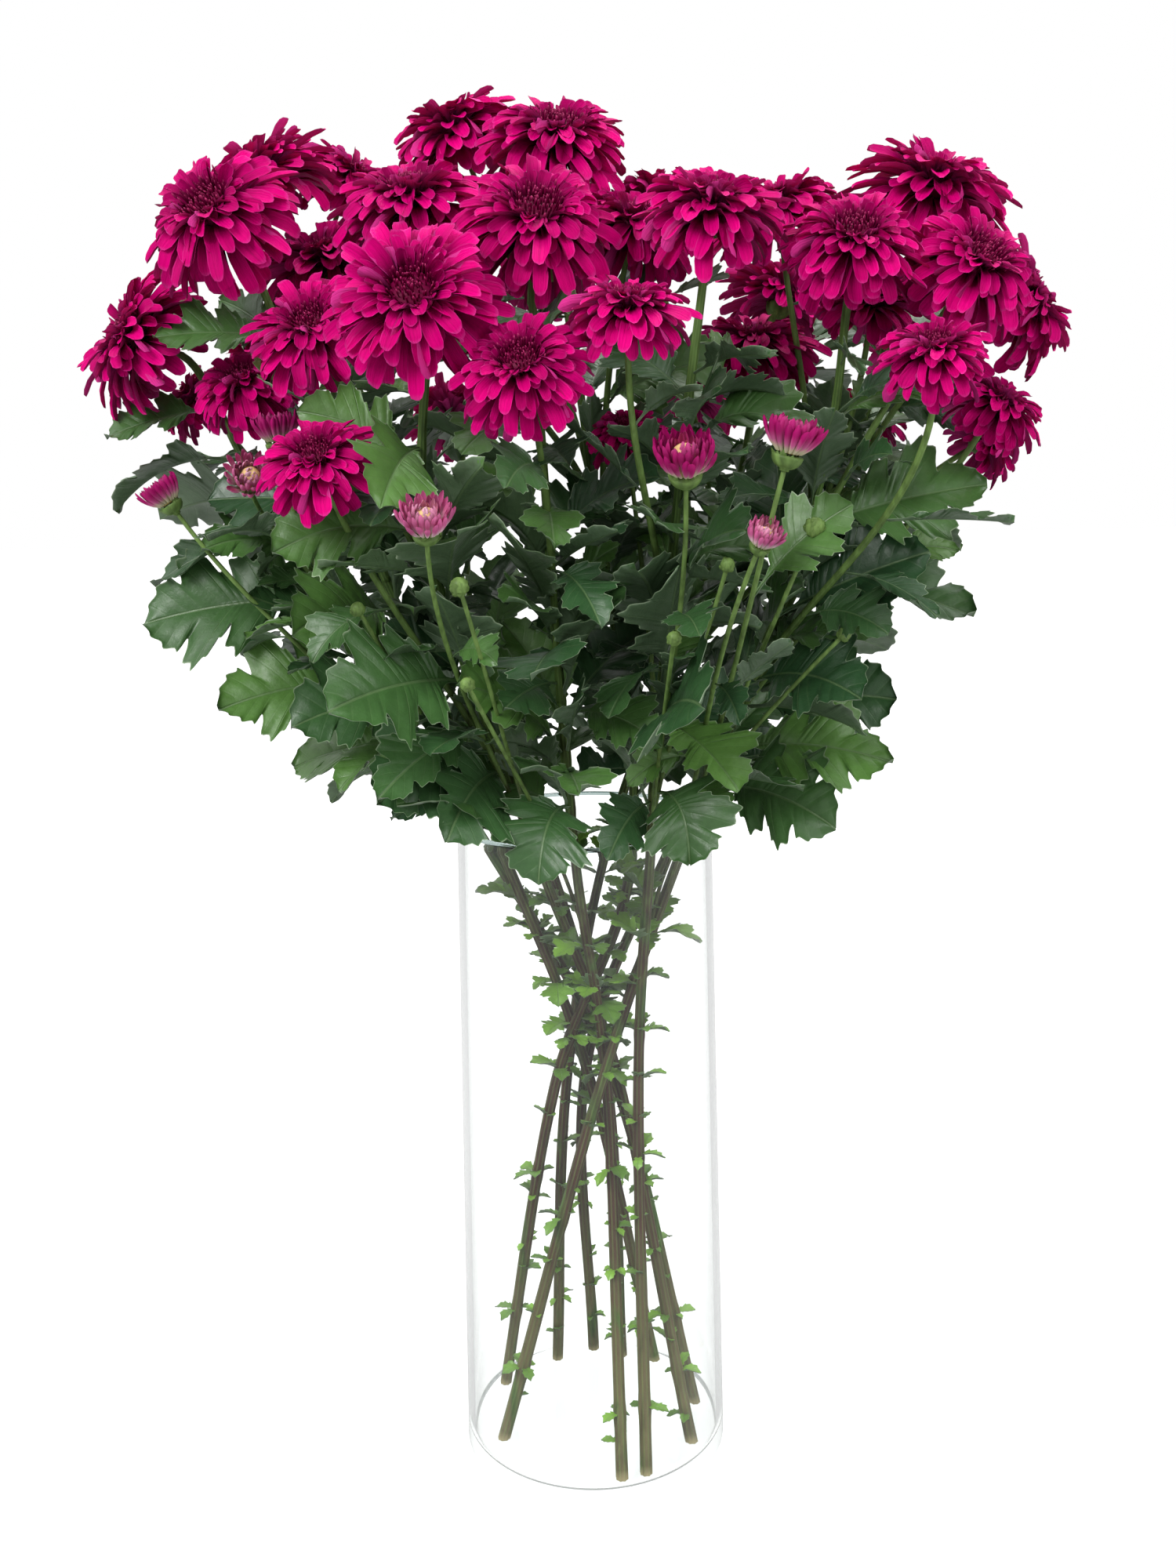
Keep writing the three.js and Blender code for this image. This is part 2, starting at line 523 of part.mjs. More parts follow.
export { leafy, blooms, buds, glass, dropped, curves, isClear };
export default bouquet;
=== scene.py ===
"""Dresses the frame of ten spray chrysanthemums in a tall clear glass jar.

Metres, +Z up, origin at the centre of the jar's underside, -Y towards the viewer. Every stem, shoot, leaf,
bloom and bud follows the same rule as its solid in the frame, with fine surfaces in place of the facets.
"""

import math

import bpy
import numpy as np
from bpy.props import FloatProperty, FloatVectorProperty, IntProperty, PointerProperty
from bpy.types import Operator, Panel, PropertyGroup
from mathutils import Matrix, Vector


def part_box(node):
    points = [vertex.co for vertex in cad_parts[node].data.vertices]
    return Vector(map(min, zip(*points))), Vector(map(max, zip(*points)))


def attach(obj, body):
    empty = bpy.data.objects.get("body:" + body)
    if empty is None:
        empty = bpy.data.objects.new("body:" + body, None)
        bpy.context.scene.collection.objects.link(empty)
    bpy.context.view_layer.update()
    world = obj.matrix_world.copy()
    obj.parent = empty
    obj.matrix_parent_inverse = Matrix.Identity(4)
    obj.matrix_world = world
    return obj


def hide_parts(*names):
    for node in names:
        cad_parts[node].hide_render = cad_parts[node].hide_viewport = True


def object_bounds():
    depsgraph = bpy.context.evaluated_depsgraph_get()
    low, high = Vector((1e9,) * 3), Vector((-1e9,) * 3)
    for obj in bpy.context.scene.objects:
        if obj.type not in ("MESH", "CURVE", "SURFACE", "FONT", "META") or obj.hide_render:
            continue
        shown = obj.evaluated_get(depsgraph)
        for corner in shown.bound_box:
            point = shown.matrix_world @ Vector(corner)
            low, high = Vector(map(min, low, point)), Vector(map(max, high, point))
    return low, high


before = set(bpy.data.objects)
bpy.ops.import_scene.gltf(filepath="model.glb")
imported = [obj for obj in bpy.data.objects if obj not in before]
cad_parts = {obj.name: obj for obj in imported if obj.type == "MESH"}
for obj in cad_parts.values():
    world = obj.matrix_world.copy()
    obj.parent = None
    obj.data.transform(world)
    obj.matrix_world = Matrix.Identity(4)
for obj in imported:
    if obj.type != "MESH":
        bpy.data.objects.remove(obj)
FRAME_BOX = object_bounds()

bl_info = {
    "name": "Chrysanthemums in a jar",
    "version": (1, 0, 0),
    "blender": (4, 5, 0),
    "location": "View3D > Sidebar > Bouquet",
    "description": "Dresses the frame of a bunch of spray chrysanthemums in a glass jar",
    "category": "Object",
}

# ---------------------------------------------------------------- sizes in millimetres
MM = 0.001
JAR_RADIUS, JAR_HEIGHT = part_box("jar")[1].x / MM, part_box("jar")[1].z / MM
JAR_FLOOR = 10.0
SEAT_GAP = 0.3
UNDERSIDE = 0.2  # depth of a bloom below its rim, as a share of its radius
STEM_FOOT, STEM_TIP = 3.3, 2.1
SHOOT_ROOT, SHOOT_TIP, SHOOT_NECK = 2.0, 1.5, 26.0
BUD_SHOOT = 1.05  # radius of a shoot that bears a closed bud
SHOOT_BEND = 0.35  # how far from its two ends a shoot bends, as a share of its reach
SLIM_BELOW, SLIM = 20, 0.75  # heads of a smaller radius stand on shoots that are thinner by this share
NEAR_SHOOT, NEAR_LEAF = 0.12, 0.15  # how near a vertex of the frame lies to the place that it marks
HEAD_MARKS, BUD_MARKS, LEAF_MARKS, SPROUT_MARKS = 3, 2, 4, 1  # the least vertices that mark a place
BLOOM_CALYX = (0.26, 0.18)  # width and depth of the green cup, as shares of the head's radius
BUD_CALYX = (0.62, 0.5)
WAIST, MOUTH = 205.0, 350.0  # heights where the stems cross and where they lean on the mouth

# Foot, waist and mouth are x, y at the jar's floor, at the waist and at the mouth. Side shoots begin at the
# shoulder.
STEMS = {
    "a": ((-56, 29), (-20, -10), (28, -23), (8, -26, 560)),
    "b": ((-53, -24), (5, -22), (58, -20), (128, -66, 540)),
    "c": ((-24, 53), (-13, 7), (20, 48), (92, 72, 520)),
    "d": ((-1, 63), (-2, 17), (58, 15), (150, 0, 540)),
    "e": ((38, 50), (0, 1), (-48, -28), (-128, -40, 550)),
    "f": ((14, -61), (10, -11), (-5, -60), (-16, -92, 540)),
    "g": ((27, -57), (28, -20), (36, -52), (52, -96, 540)),
    "h": ((54, -30), (17, -1), (-28, -40), (-76, -104, 520)),
    "i": ((60, 6), (13, 8), (-60, -8), (-176, -14, 540)),
    "j": ((17, 55), (9, 23), (-32, 50), (-92, 88, 530)),
}

# Open blooms: stem, centre, radius, the way it faces, and the share of the stem where its shoot leaves.
# The bloom with no share ends the stem itself.
BLOOMS = {
    "01": ("e", (-195, -60, 705), 39, (-0.35, -0.7, 0.62), None),
    "02": ("e", (-186, 24, 741), 33, (-0.45, -0.15, 0.88), 0.74),
    "03": ("j", (-142, 76, 748), 28, (0.5, -0.2, 0.84), 0.7),
    "04": ("i", (-250, -20, 642), 37, (-0.8, -0.35, 0.48), None),
    "05": ("e", (-146, 4, 688), 29, (-0.1, -0.4, 0.91), 0.7),
    "06": ("h", (-137, -92, 637), 31, (-0.2, -0.7, 0.7), 0.7),
    "07": ("h", (-76, -160, 645), 37, (-0.05, -0.86, 0.5), None),
    "08": ("a", (-87, -60, 709), 38, (-0.1, -0.35, 0.93), 0.72),
    "09": ("a", (-70, 33, 769), 34, (-0.35, -0.2, 0.91), 0.74),
    "10": ("a", (-9, -30, 749), 38, (0.08, -0.5, 0.86), None),
    "11": ("f", (-18, -120, 688), 37, (0.1, -0.68, 0.72), None),
    "12": ("f", (-24, -172, 610), 29, (-0.15, -0.72, 0.68), 0.64),
    "13": ("a", (33, -56, 695), 31, (0.2, -0.35, 0.9), 0.68),
    "14": ("g", (71, -120, 692), 34, (0.1, -0.35, 0.93), None),
    "15": ("g", (27, -170, 636), 26, (0.05, -0.3, 0.95), 0.68),
    "16": ("b", (143, -122, 674), 33, (0.0, -0.62, 0.78), None),
    "17": ("d", (118, -28, 706), 30, (-0.1, -0.2, 0.97), 0.7),
    "18": ("d", (205, -26, 718), 38, (0.25, -0.3, 0.92), None),
    "19": ("b", (205, -118, 662), 32, (0.35, -0.66, 0.66), 0.7),
    "20": ("d", (250, -38, 652), 35, (0.85, -0.25, 0.46), 0.66),
    "21": ("b", (174, -162, 614), 24, (-0.1, -0.45, 0.89), 0.62),
    "22": ("b", (226, -76, 592), 25, (0.45, -0.3, 0.84), 0.6),
    "23": ("c", (106, 12, 632), 32, (0.0, -0.2, 0.98), 0.66),
    "24": ("d", (164, -58, 648), 22, (0.1, -0.3, 0.95), 0.62),
    "25": ("d", (240, 4, 575), 22, (0.88, 0.1, 0.46), 0.56),
    "26": ("g", (27, -70, 582), 19, (-0.1, -0.4, 0.91), 0.58),
    "27": ("i", (-186, -40, 613), 24, (-0.25, -0.5, 0.83), 0.7),
    "28": ("i", (-234, 42, 610), 22, (-0.7, 0.1, 0.7), 0.66),
    "29": ("h", (-125, -150, 568), 26, (-0.15, -0.62, 0.77), 0.56),
    "30": ("c", (180, 52, 593), 22, (0.3, 0.2, 0.93), 0.6),
    "31": ("j", (-115, 140, 690), 34, (-0.3, 0.5, 0.81), None),
    "32": ("j", (-18, 150, 706), 34, (0.0, 0.5, 0.87), 0.72),
    "33": ("c", (140, 140, 676), 34, (0.35, 0.5, 0.79), None),
    "34": ("c", (52, 66, 728), 33, (0.0, 0.15, 0.99), 0.72),
    "35": ("j", (-205, 112, 640), 30, (-0.6, 0.5, 0.62), 0.68),
    "36": ("d", (222, 96, 640), 30, (0.6, 0.5, 0.62), 0.64),
    "37": ("c", (86, 196, 616), 29, (0.25, 0.8, 0.55), 0.64),
    "38": ("j", (-92, 196, 602), 28, (-0.3, 0.8, 0.52), 0.64),
}

# Half-open buds, in the same form.
BUDS = {
    "1": ("i", (-163, -64, 583), 12, (-0.1, -0.1, 0.99), 0.62),
    "2": ("e", (-170, -100, 560), 12, (0.2, -0.9, 0.39), 0.56),
    "3": ("i", (-224, -62, 550), 11, (-0.55, -0.1, 0.83), 0.52),
    "4": ("h", (-71, -172, 536), 12, (0.05, -0.62, 0.78), 0.5),
    "5": ("g", (52, -172, 562), 14, (-0.05, -0.55, 0.83), 0.52),
    "6": ("b", (101, -176, 570), 13, (0.25, -0.15, 0.96), 0.5),
    "7": ("b", (88, -168, 526), 9, (0.3, -0.5, 0.81), 0.46),
}

PALE_BUDS = ("2", "4", "7")  # the youngest, still pale pink

# Closed green buds on their stems: centre, radius, and the share of the stem where the shoot leaves.
GREEN_BUDS = {
    "b": [((116, -152, 532), 5.5, 0.44), ((138, -100, 474), 4, 0.42)],
    "f": [((-54, -160, 460), 4, 0.42)],
    "g": [((74, -142, 514), 4, 0.52), ((46, -158, 480), 4, 0.44)],
    "h": [((-56, -172, 508), 5, 0.44)],
    "e": [((-112, -122, 494), 4, 0.46)],
}

# Large leaves: height on the stem, bearing, length, rise above the level, droop at the tip and tilt to the
# viewer.
LEAVES = {
    "a": [(430, -60, 94, 62, 40, 30), (475, 130, 88, 30, 50, -30), (520, -110, 90, 60, 50, 30),
          (570, 50, 84, 30, 50, -30), (630, -25, 74, 55, 40, 40)],
    "b": [(380, -40, 92, 12, 40, 50), (402, -14, 100, 12, 30, 50), (440, -50, 92, 25, 50, 45),
          (478, -24, 96, 30, 14, 55), (528, -10, 100, 20, 14, 60), (585, 20, 68, 40, 50, 20)],
    "c": [(395, 60, 96, 20, 50, -30), (440, 10, 98, 20, 40, -40), (480, 120, 96, 25, 50, -40),
          (520, 30, 94, 25, 50, -40), (570, 100, 88, 25, 50, -30)],
    "d": [(415, -5, 100, 20, 30, 55), (455, 30, 100, 15, 40, -30), (495, -15, 104, 0, 24, 15),
          (535, 40, 94, 20, 40, -40), (590, -25, 80, 20, 40, 50)],
    "e": [(430, -150, 94, 18, 40, 50), (480, -125, 94, 25, 50, 50), (545, -155, 84, 10, 14, 50),
          (590, -100, 76, 20, 50, 30), (640, -165, 72, 10, 20, 45)],
    "f": [(380, -110, 84, 15, 95, 20), (408, -140, 92, 55, 45, 45), (440, -60, 92, 62, 40, 30),
          (478, -120, 92, 62, 35, 30), (520, -30, 84, 55, 50, 40)],
    "g": [(385, -65, 82, 15, 105, 30), (424, -36, 108, 28, 28, 50), (444, -128, 96, 60, 24, 40),
          (490, -60, 92, 58, 55, 40), (570, -14, 100, 50, 95, 30), (598, 150, 64, 50, 35, 40)],
    "h": [(374, -158, 96, 22, 20, 20), (408, -150, 92, 15, 50, 55), (450, -172, 106, 12, 26, 55),
          (490, -80, 92, 55, 50, 30), (530, -160, 88, 20, 50, 50), (575, -130, 76, 0, 50, 50)],
    "i": [(400, 165, 92, 12, 40, 45), (440, -160, 98, 10, 30, 55), (490, -175, 108, 4, 20, 55),
          (545, 150, 94, 15, 40, -40), (603, -168, 66, -5, 20, 30)],
    "j": [(385, 110, 96, 20, 50, -20), (425, 160, 100, 20, 45, -45), (470, 80, 94, 25, 50, -30),
          (510, 150, 98, 20, 45, -45), (565, 120, 90, 25, 50, -30)],
}

# Sprouts on the bare stems inside the jar: height on the stem, bearing, length.
SPROUTS = {
    "a": [(60, 170, 16), (150, -150, 18), (235, -60, 20)],
    "b": [(50, -150, 15), (135, 160, 18), (270, -10, 22)],
    "c": [(230, 140, 22)],
    "d": [(255, 30, 22)],
    "e": [(75, 40, 16), (240, -130, 26)],
    "f": [(40, -140, 14), (160, -70, 20)],
    "g": [(42, -20, 16), (170, -20, 18), (240, 0, 20)],
    "h": [(46, -10, 15), (145, 20, 16)],
    "i": [(62, 10, 15), (235, 160, 26)],
    "j": [(250, 110, 22)],
}
SPROUT_POSE = (30, 60, 0)  # rise, droop and tilt of every sprout

# How far aside a shoot or a leaf may stand from its plain course, in the order in which the ways are tried.
SWAYS = (0, 12, 22, 34, 48)
SWAY_BEARINGS = (-90, 90, 0, 180, -45, 45, -135, 135)
SIZES = (1, 0.86, 0.72)
LIFTS = (0, 18, -18)
TURNS = (0, 14, -14, 28, -28, 45, -45, 65, -65)

# Half a leaf's outline, in shares of its length: where on the midrib a line begins, how far along the leaf
# and how far out from the midrib it ends, and its number. Whole numbers end in teeth and halves in notches.
LEAF_OUTLINE = (
    (0.0, 0.0, 0.016, -1.0), (0.1, 0.1, 0.013, -0.7), (0.19, 0.19, 0.016, -0.5), (0.235, 0.25, 0.05, 0.0),
    (0.25, 0.272, 0.052, 0.5), (0.262, 0.305, 0.13, 1.0), (0.272, 0.33, 0.128, 1.5),
    (0.284, 0.38, 0.225, 2.0), (0.296, 0.405, 0.222, 2.5), (0.312, 0.478, 0.325, 3.0),
    (0.33, 0.488, 0.27, 3.5), (0.35, 0.535, 0.268, 4.0), (0.38, 0.517, 0.195, 4.4),
    (0.41, 0.512, 0.135, 4.6), (0.44, 0.562, 0.212, 5.0), (0.455, 0.584, 0.212, 5.5),
    (0.47, 0.642, 0.3, 6.0), (0.484, 0.67, 0.298, 6.5), (0.505, 0.737, 0.356, 7.0),
    (0.53, 0.742, 0.3, 7.5), (0.556, 0.79, 0.285, 8.0), (0.596, 0.768, 0.2, 8.4),
    (0.636, 0.768, 0.142, 8.6), (0.68, 0.826, 0.208, 9.0), (0.71, 0.84, 0.186, 9.5),
    (0.755, 0.898, 0.18, 10.0), (0.8, 0.905, 0.142, 10.5), (0.86, 0.955, 0.105, 11.0),
    (0.91, 0.962, 0.07, 11.5), (1.0, 1.0, 0.006, 12.0),
)
MAIN_LOBES = (3.0, 7.0)  # the numbers of the lines that end in the two great lobes
SPRIG_OUTLINE = (
    (0.0, 0.0, 0.05, -1.0), (0.15, 0.15, 0.05, -0.5), (0.24, 0.36, 0.2, 0.0), (0.34, 0.4, 0.13, 0.5),
    (0.42, 0.6, 0.26, 1.0), (0.52, 0.62, 0.2, 1.5), (0.62, 0.8, 0.22, 2.0), (0.74, 0.83, 0.14, 2.5),
    (1.0, 1.0, 0.01, 3.0),
)

# The rings of petals in an open bloom, from the outside in: petals, radius and height of the root, length,
# rise at the root, rise at the tip, half width, and how deep the petal stands in the bloom (1 is its rim). In
# the open blooms the petal material paints shade on the deeper rings by it.
PETAL_RINGS = (
    (20, 0.08, -0.10, 1.02, -2, -82, 0.116, 0.95),
    (23, 0.10, -0.05, 1.08, 10, -64, 0.118, 1.0),
    (23, 0.13, 0.00, 1.03, 22, -50, 0.114, 1.0),
    (23, 0.16, 0.05, 0.91, 35, -40, 0.108, 0.94),
    (21, 0.19, 0.10, 0.76, 47, -30, 0.102, 0.84),
    (19, 0.23, 0.15, 0.60, 57, -14, 0.094, 0.7),
    (17, 0.27, 0.18, 0.44, 66, 8, 0.084, 0.54),
    (14, 0.30, 0.21, 0.30, 70, 34, 0.07, 0.38),
)
BUD_RINGS = (
    (20, 0.50, -0.12, 1.34, 46, 84, 0.135, 1.0),
    (19, 0.44, -0.06, 1.26, 56, 96, 0.125, 0.85),
    (16, 0.34, 0.0, 1.14, 66, 108, 0.115, 0.65),
    (12, 0.22, 0.06, 0.98, 74, 120, 0.105, 0.4),
)
# Blooms that open wider than their solids, to close the crowd where the photograph shows it closed.
WIDER = {"02": 1.14, "03": 1.16, "05": 1.24, "09": 1.08, "13": 1.1, "17": 1.18, "18": 1.06, "24": 1.24,
         "27": 1.12, "23": 1.1}
HEART_REACH = 0.39  # where the outermost florets of a bloom's middle stand, as a share of its radius
WILDEST = 1.8  # how many of its usual shares a petal may at most stray from its ring
# Half width of a petal along its length, as a share of its widest, and where each row lies.
PETAL_ROWS = np.array([0.0, 0.28, 0.55, 0.77, 0.92, 1.0])
PETAL_WIDTHS = np.array([0.3, 0.58, 0.92, 1.0, 0.92, 0.62])
FLORET_WIDTHS = np.array([0.5, 0.7, 0.92, 1.0, 0.7, 0.32])


# ---------------------------------------------------------------- settings
def length_setting(name, description, default):
    return FloatProperty(name=name, description=description, default=default, min=0, unit="LENGTH",
                         precision=4)


def share_setting(name, description, default):
    return FloatProperty(name=name, description=description, default=default, min=0, subtype="FACTOR")


def strength_setting(name, description, default):
    return FloatProperty(name=name, description=description, default=default, min=0)


def count_setting(name, description, default, least=0):
    return IntProperty(name=name, description=description, default=default, min=least)


def colour_setting(name, description, default):
    return FloatVectorProperty(name=name, description=description, default=default, size=4, min=0, max=1,
                               subtype="COLOR")


class JarSettings(PropertyGroup):
    wall: length_setting("Wall", "Thickness of the glass wall", 4.0 * MM)
    floor: length_setting("Floor", "Thickness of the glass floor", JAR_FLOOR * MM)
    foot: length_setting("Foot", "Radius of the rounded corner at the foot", 3.0 * MM)
    glass: colour_setting("Glass", "Tint of the glass", (0.985, 0.998, 0.994, 1))
    # Painted shade: the rim's tint is dark, to paint the dark lines seen in the thick glass of the rim.
    rim: colour_setting("Rim", "Tint of the glass in the rounded rim", (0.12, 0.175, 0.165, 1))


class StalkSettings(PropertyGroup):
    ribs: count_setting("Ribs", "Ribs around a stem", 8, 3)
    rib_depth: share_setting("Rib depth", "Height of a rib as a share of the stem's radius", 0.07)
    green: colour_setting("Green", "Colour of the upper stems", (0.055, 0.11, 0.024, 1))
    pale: colour_setting("Pale green", "Colour of the ribs and of young shoots", (0.16, 0.26, 0.07, 1))
    brown: colour_setting("Brown", "Colour of the old wood low on the stems", (0.055, 0.024, 0.018, 1))
    # Painted light: this olive is paler than the brown wood, to paint the light from the floor below on the
    # stems' feet.
    olive_lit_from_below: colour_setting("Olive", "Colour of the wood nearest the cut feet", (0.135, 0.115, 0.055, 1))
    cut: colour_setting("Cut end", "Colour of the cut feet", (0.42, 0.36, 0.2, 1))


class LeafSettings(PropertyGroup):
    thickness: length_setting("Thickness", "Thickness of a leaf's blade", 0.36 * MM)
    rib: length_setting("Midrib", "Height of the midrib under the blade", 1.1 * MM)
    companions: count_setting("Companions", "Small leaves added to each stem", 14)
    inner: count_setting("Inner leaves", "Upright leaves added inside the bunch", 9)
    shoot_leaves: count_setting("Shoot leaves", "Leaves on each side shoot", 3)
    upper: colour_setting("Upper side", "Colour of a leaf's upper side", (0.022, 0.072, 0.024, 1))
    # Painted light: the lit green paints the light on the leaves that catch the most of it; their tone picks
    # them at random.
    lit: colour_setting("Lit green (painted light)", "Colour of the brightest leaves", (0.11, 0.245, 0.045, 1))
    young: colour_setting("Sprouts", "Colour of the young sprouts in the jar", (0.19, 0.38, 0.04, 1))
    under: colour_setting("Underside", "Colour of a leaf's underside", (0.085, 0.135, 0.075, 1))
    vein: colour_setting("Veins", "Colour of the midrib and the veins", (0.12, 0.2, 0.08, 1))
    edge: colour_setting("Edge", "Colour of the thin turned-up edge", (0.33, 0.43, 0.27, 1))


class BloomSettings(PropertyGroup):
    petal_thickness: share_setting("Petal thickness", "Thickness of a petal as a share of the radius", 0.014)
    spread: share_setting("Spread", "How far a bloom opens, as a share of its radius in the frame", 1.05)
    turned: share_setting("Turned petals", "Share of the petals that show their underside", 0.06)
    florets: count_setting("Florets", "Small florets in the middle of a bloom", 140, 1)
    bright: colour_setting("Petals", "Colour of the outer petals", (0.55, 0.0, 0.148, 1))
    # Painted shade: this deep colour darkens the petals' roots and the inner rings, where shade falls in the
    # bloom.
    deep: colour_setting("Deep petals", "Colour of petals near the middle", (0.105, 0.0, 0.027, 1))
    under: colour_setting("Petal underside", "Colour of the undersides", (0.5, 0.045, 0.25, 1))
    heart: colour_setting("Heart", "Colour of the florets in the middle", (0.145, 0.0, 0.036, 1))
    speck: colour_setting("Floret tips", "Colour of the florets' tips", (0.4, 0.03, 0.13, 1))


class BudSettings(PropertyGroup):
    tip: colour_setting("Tips", "Colour of the florets' tips", (0.36, 0.002, 0.12, 1))
    middle: colour_setting("Middle", "Colour halfway down the florets", (0.56, 0.12, 0.3, 1))
    pale_tip: colour_setting("Pale tips", "Colour of the palest buds' tips", (0.56, 0.11, 0.28, 1))
    pale_middle: colour_setting("Pale middle", "Colour halfway down them", (0.8, 0.56, 0.64, 1))
    base: colour_setting("Base", "Colour at the florets' roots", (0.55, 0.5, 0.34, 1))
    heart: colour_setting("Heart", "Colour of the closed middle", (0.72, 0.5, 0.22, 1))


class StageSettings(PropertyGroup):
    floor: colour_setting("Floor", "Colour of the floor", (0.38, 0.38, 0.38, 1))
    glow: strength_setting("Floor glow", "Light of the floor from below", 0.72)
    overhead: strength_setting("Overhead light", "Strength of the light above", 1.5)
    around: strength_setting("Light around", "Strength of the light at eye level", 0.35)
    camera_away: length_setting("Camera distance", "From the jar's axis to the camera", 0.877)
    camera_height: length_setting("Camera height", "Height of the camera over the table", 0.56)


# ---------------------------------------------------------------- small maths
UP = np.array([0.0, 0.0, 1.0])


def unit(vectors):
    """Each vector divided by its length."""
    vectors = np.asarray(vectors, float)
    return vectors / np.linalg.norm(vectors, axis=-1, keepdims=True)


def smooth(values, low, high):
    """0 below low, 1 above high, and 3s^2 - 2s^3 between."""
    s = np.clip((values - low) / (high - low), 0, 1)
    return s * s * (3 - 2 * s)


def turned_to(faces):
    """The rotation that takes +Z to faces the short way: I + V + V^2 / (1 + z), where V is the cross product
    with z x f."""
    x, y, z = unit(faces)
    cross = np.array([[0, 0, x], [0, 0, y], [-x, -y, 0]])
    return np.eye(3) + cross + cross @ cross / (1 + z)


def turned_about(vectors, axes, angles):
    """Rodrigues' turn of vectors about axes: v cos + (a x v) sin + a (a.v)(1 - cos)."""
    cos, sin = np.cos(angles)[..., None], np.sin(angles)[..., None]
    along = np.sum(axes * vectors, axis=-1, keepdims=True)
    return vectors * cos + np.cross(axes, vectors) * sin + axes * along * (1 - cos)


def way_of(bearing):
    """The level way at this bearing."""
    turn = math.radians(bearing)
    return np.array([math.cos(turn), math.sin(turn), 0.0])


def turns(sides):
    """The bearings of so many points round a circle."""
    return np.linspace(0, 2 * np.pi, sides, endpoint=False)


def paired(u, v):
    """A grid of UV from its two parts."""
    return np.stack(np.broadcast_arrays(u, v), axis=-1)


class Path:
    """A curve given as a formula of t, walked by the share of its arc length."""

    def __init__(self, formula, stations=200):
        self.formula = formula
        self.t = np.linspace(0, 1, stations + 1)
        steps = np.linalg.norm(np.diff(formula(self.t), axis=0), axis=1)
        self.run = np.concatenate([[0.0], np.cumsum(steps)])

    def t_of(self, shares):
        return np.interp(np.atleast_1d(shares) * self.run[-1], self.run, self.t)

    def points(self, shares):
        return self.formula(self.t_of(shares))

    def headings(self, shares):
        """The chord across a very short stretch about each place, as a unit vector."""
        t = self.t_of(shares)
        return unit(self.formula(np.minimum(t + 1e-4, 1)) - self.formula(np.maximum(t - 1e-4, 0)))

    def share_at_height(self, height):
        """Halves the path again and again towards the place that has this height."""
        below, above = 0.0, 1.0
        while above - below > 1e-4:
            middle = (below + above) / 2
            if self.points(middle)[0, 2] < height:
                below = middle
            else:
                above = middle
        return below


def spline(marks):
    """A Catmull-Rom spline: a cubic from mark to mark, whose slope at a mark is half the chord of its
    neighbours."""
    marks = np.array(marks, float)
    marks = np.vstack([2 * marks[0] - marks[1], marks, 2 * marks[-1] - marks[-2]])

    def formula(t):
        place = np.clip(t, 0, 1) * (len(marks) - 3)
        first = np.minimum(place.astype(int), len(marks) - 4)
        w = (place - first)[:, None]
        a, b, c, d = (marks[first + k] for k in range(4))
        leave, arrive = (c - a) / 2, (d - b) / 2
        squared, cubed = 3 * (c - b) - 2 * leave - arrive, 2 * (b - c) + leave + arrive
        return b + leave * w + squared * w**2 + cubed * w**3

    return formula


def bezier(a, b, c, d):
    """(1-t)^3 a + 3 (1-t)^2 t b + 3 (1-t) t^2 c + t^3 d."""

    def formula(t):
        t = np.asarray(t)[:, None]
        return (1 - t) ** 3 * a + 3 * (1 - t) ** 2 * t * b + 3 * (1 - t) * t**2 * c + t**3 * d

    return formula


# ---------------------------------------------------------------- surfaces
class Skin:
    """Closed surfaces as arrays: points in millimetres, quads and triangles with the UV of each corner, and
    what the materials read: tone and depth at each point, and under (1 on an underside) at each face. Edges
    between rim points are sharp, and look is the number of each face's material."""

    def __init__(self, points, quads, quad_uv, triangles=None, triangle_uv=None, tone=0.5, depth=0.0,
                 under=0.0, rim=False):
        self.points = points.reshape(-1, 3)
        self.quads, self.quad_uv = quads, quad_uv
        self.triangles = np.zeros((0, 3), int) if triangles is None else triangles
        self.triangle_uv = np.zeros((len(self.triangles), 3, 2)) if triangle_uv is None else triangle_uv
        n, faces = len(self.points), len(self.quads) + len(self.triangles)
        self.tone = np.broadcast_to(np.asarray(tone, float), (n,))
        self.depth = np.broadcast_to(np.asarray(depth, float), (n,))
        self.rim = np.broadcast_to(np.asarray(rim, bool), (n,))
        self.under = np.broadcast_to(np.asarray(under, float), (faces,))
        self.look = np.zeros(faces, int)


def joined(skins):
    """Several skins as one, in which every skin stays a closed surface of its own."""
    starts = np.cumsum([0] + [len(skin.points) for skin in skins[:-1]])
    every = lambda field: np.concatenate([getattr(skin, field) for skin in skins])
    shifted = lambda field: np.concatenate([getattr(s, field) + start for s, start in zip(skins, starts)])
    quads_under = [skin.under[:len(skin.quads)] for skin in skins]
    triangles_under = [skin.under[len(skin.quads):] for skin in skins]
    return Skin(every("points"), shifted("quads"), every("quad_uv"), shifted("triangles"),
                every("triangle_uv"), tone=every("tone"), depth=every("depth"), rim=every("rim"),
                under=np.concatenate(quads_under + triangles_under))


def patch(numbers, uv, flip=False):
    """Quads over grids of point numbers (..., rows, columns), and the UV of each corner."""
    corners = [(slice(None, -1), slice(None, -1)), (slice(1, None), slice(None, -1)),
               (slice(1, None), slice(1, None)), (slice(None, -1), slice(1, None))]
    if flip:
        corners = corners[::-1]
    uv = np.broadcast_to(uv, numbers.shape + (2,))
    quads = np.stack([numbers[(..., *c)].ravel() for c in corners], axis=1)
    return quads, np.stack([uv[(..., *c, slice(None))].reshape(-1, 2) for c in corners], axis=1)


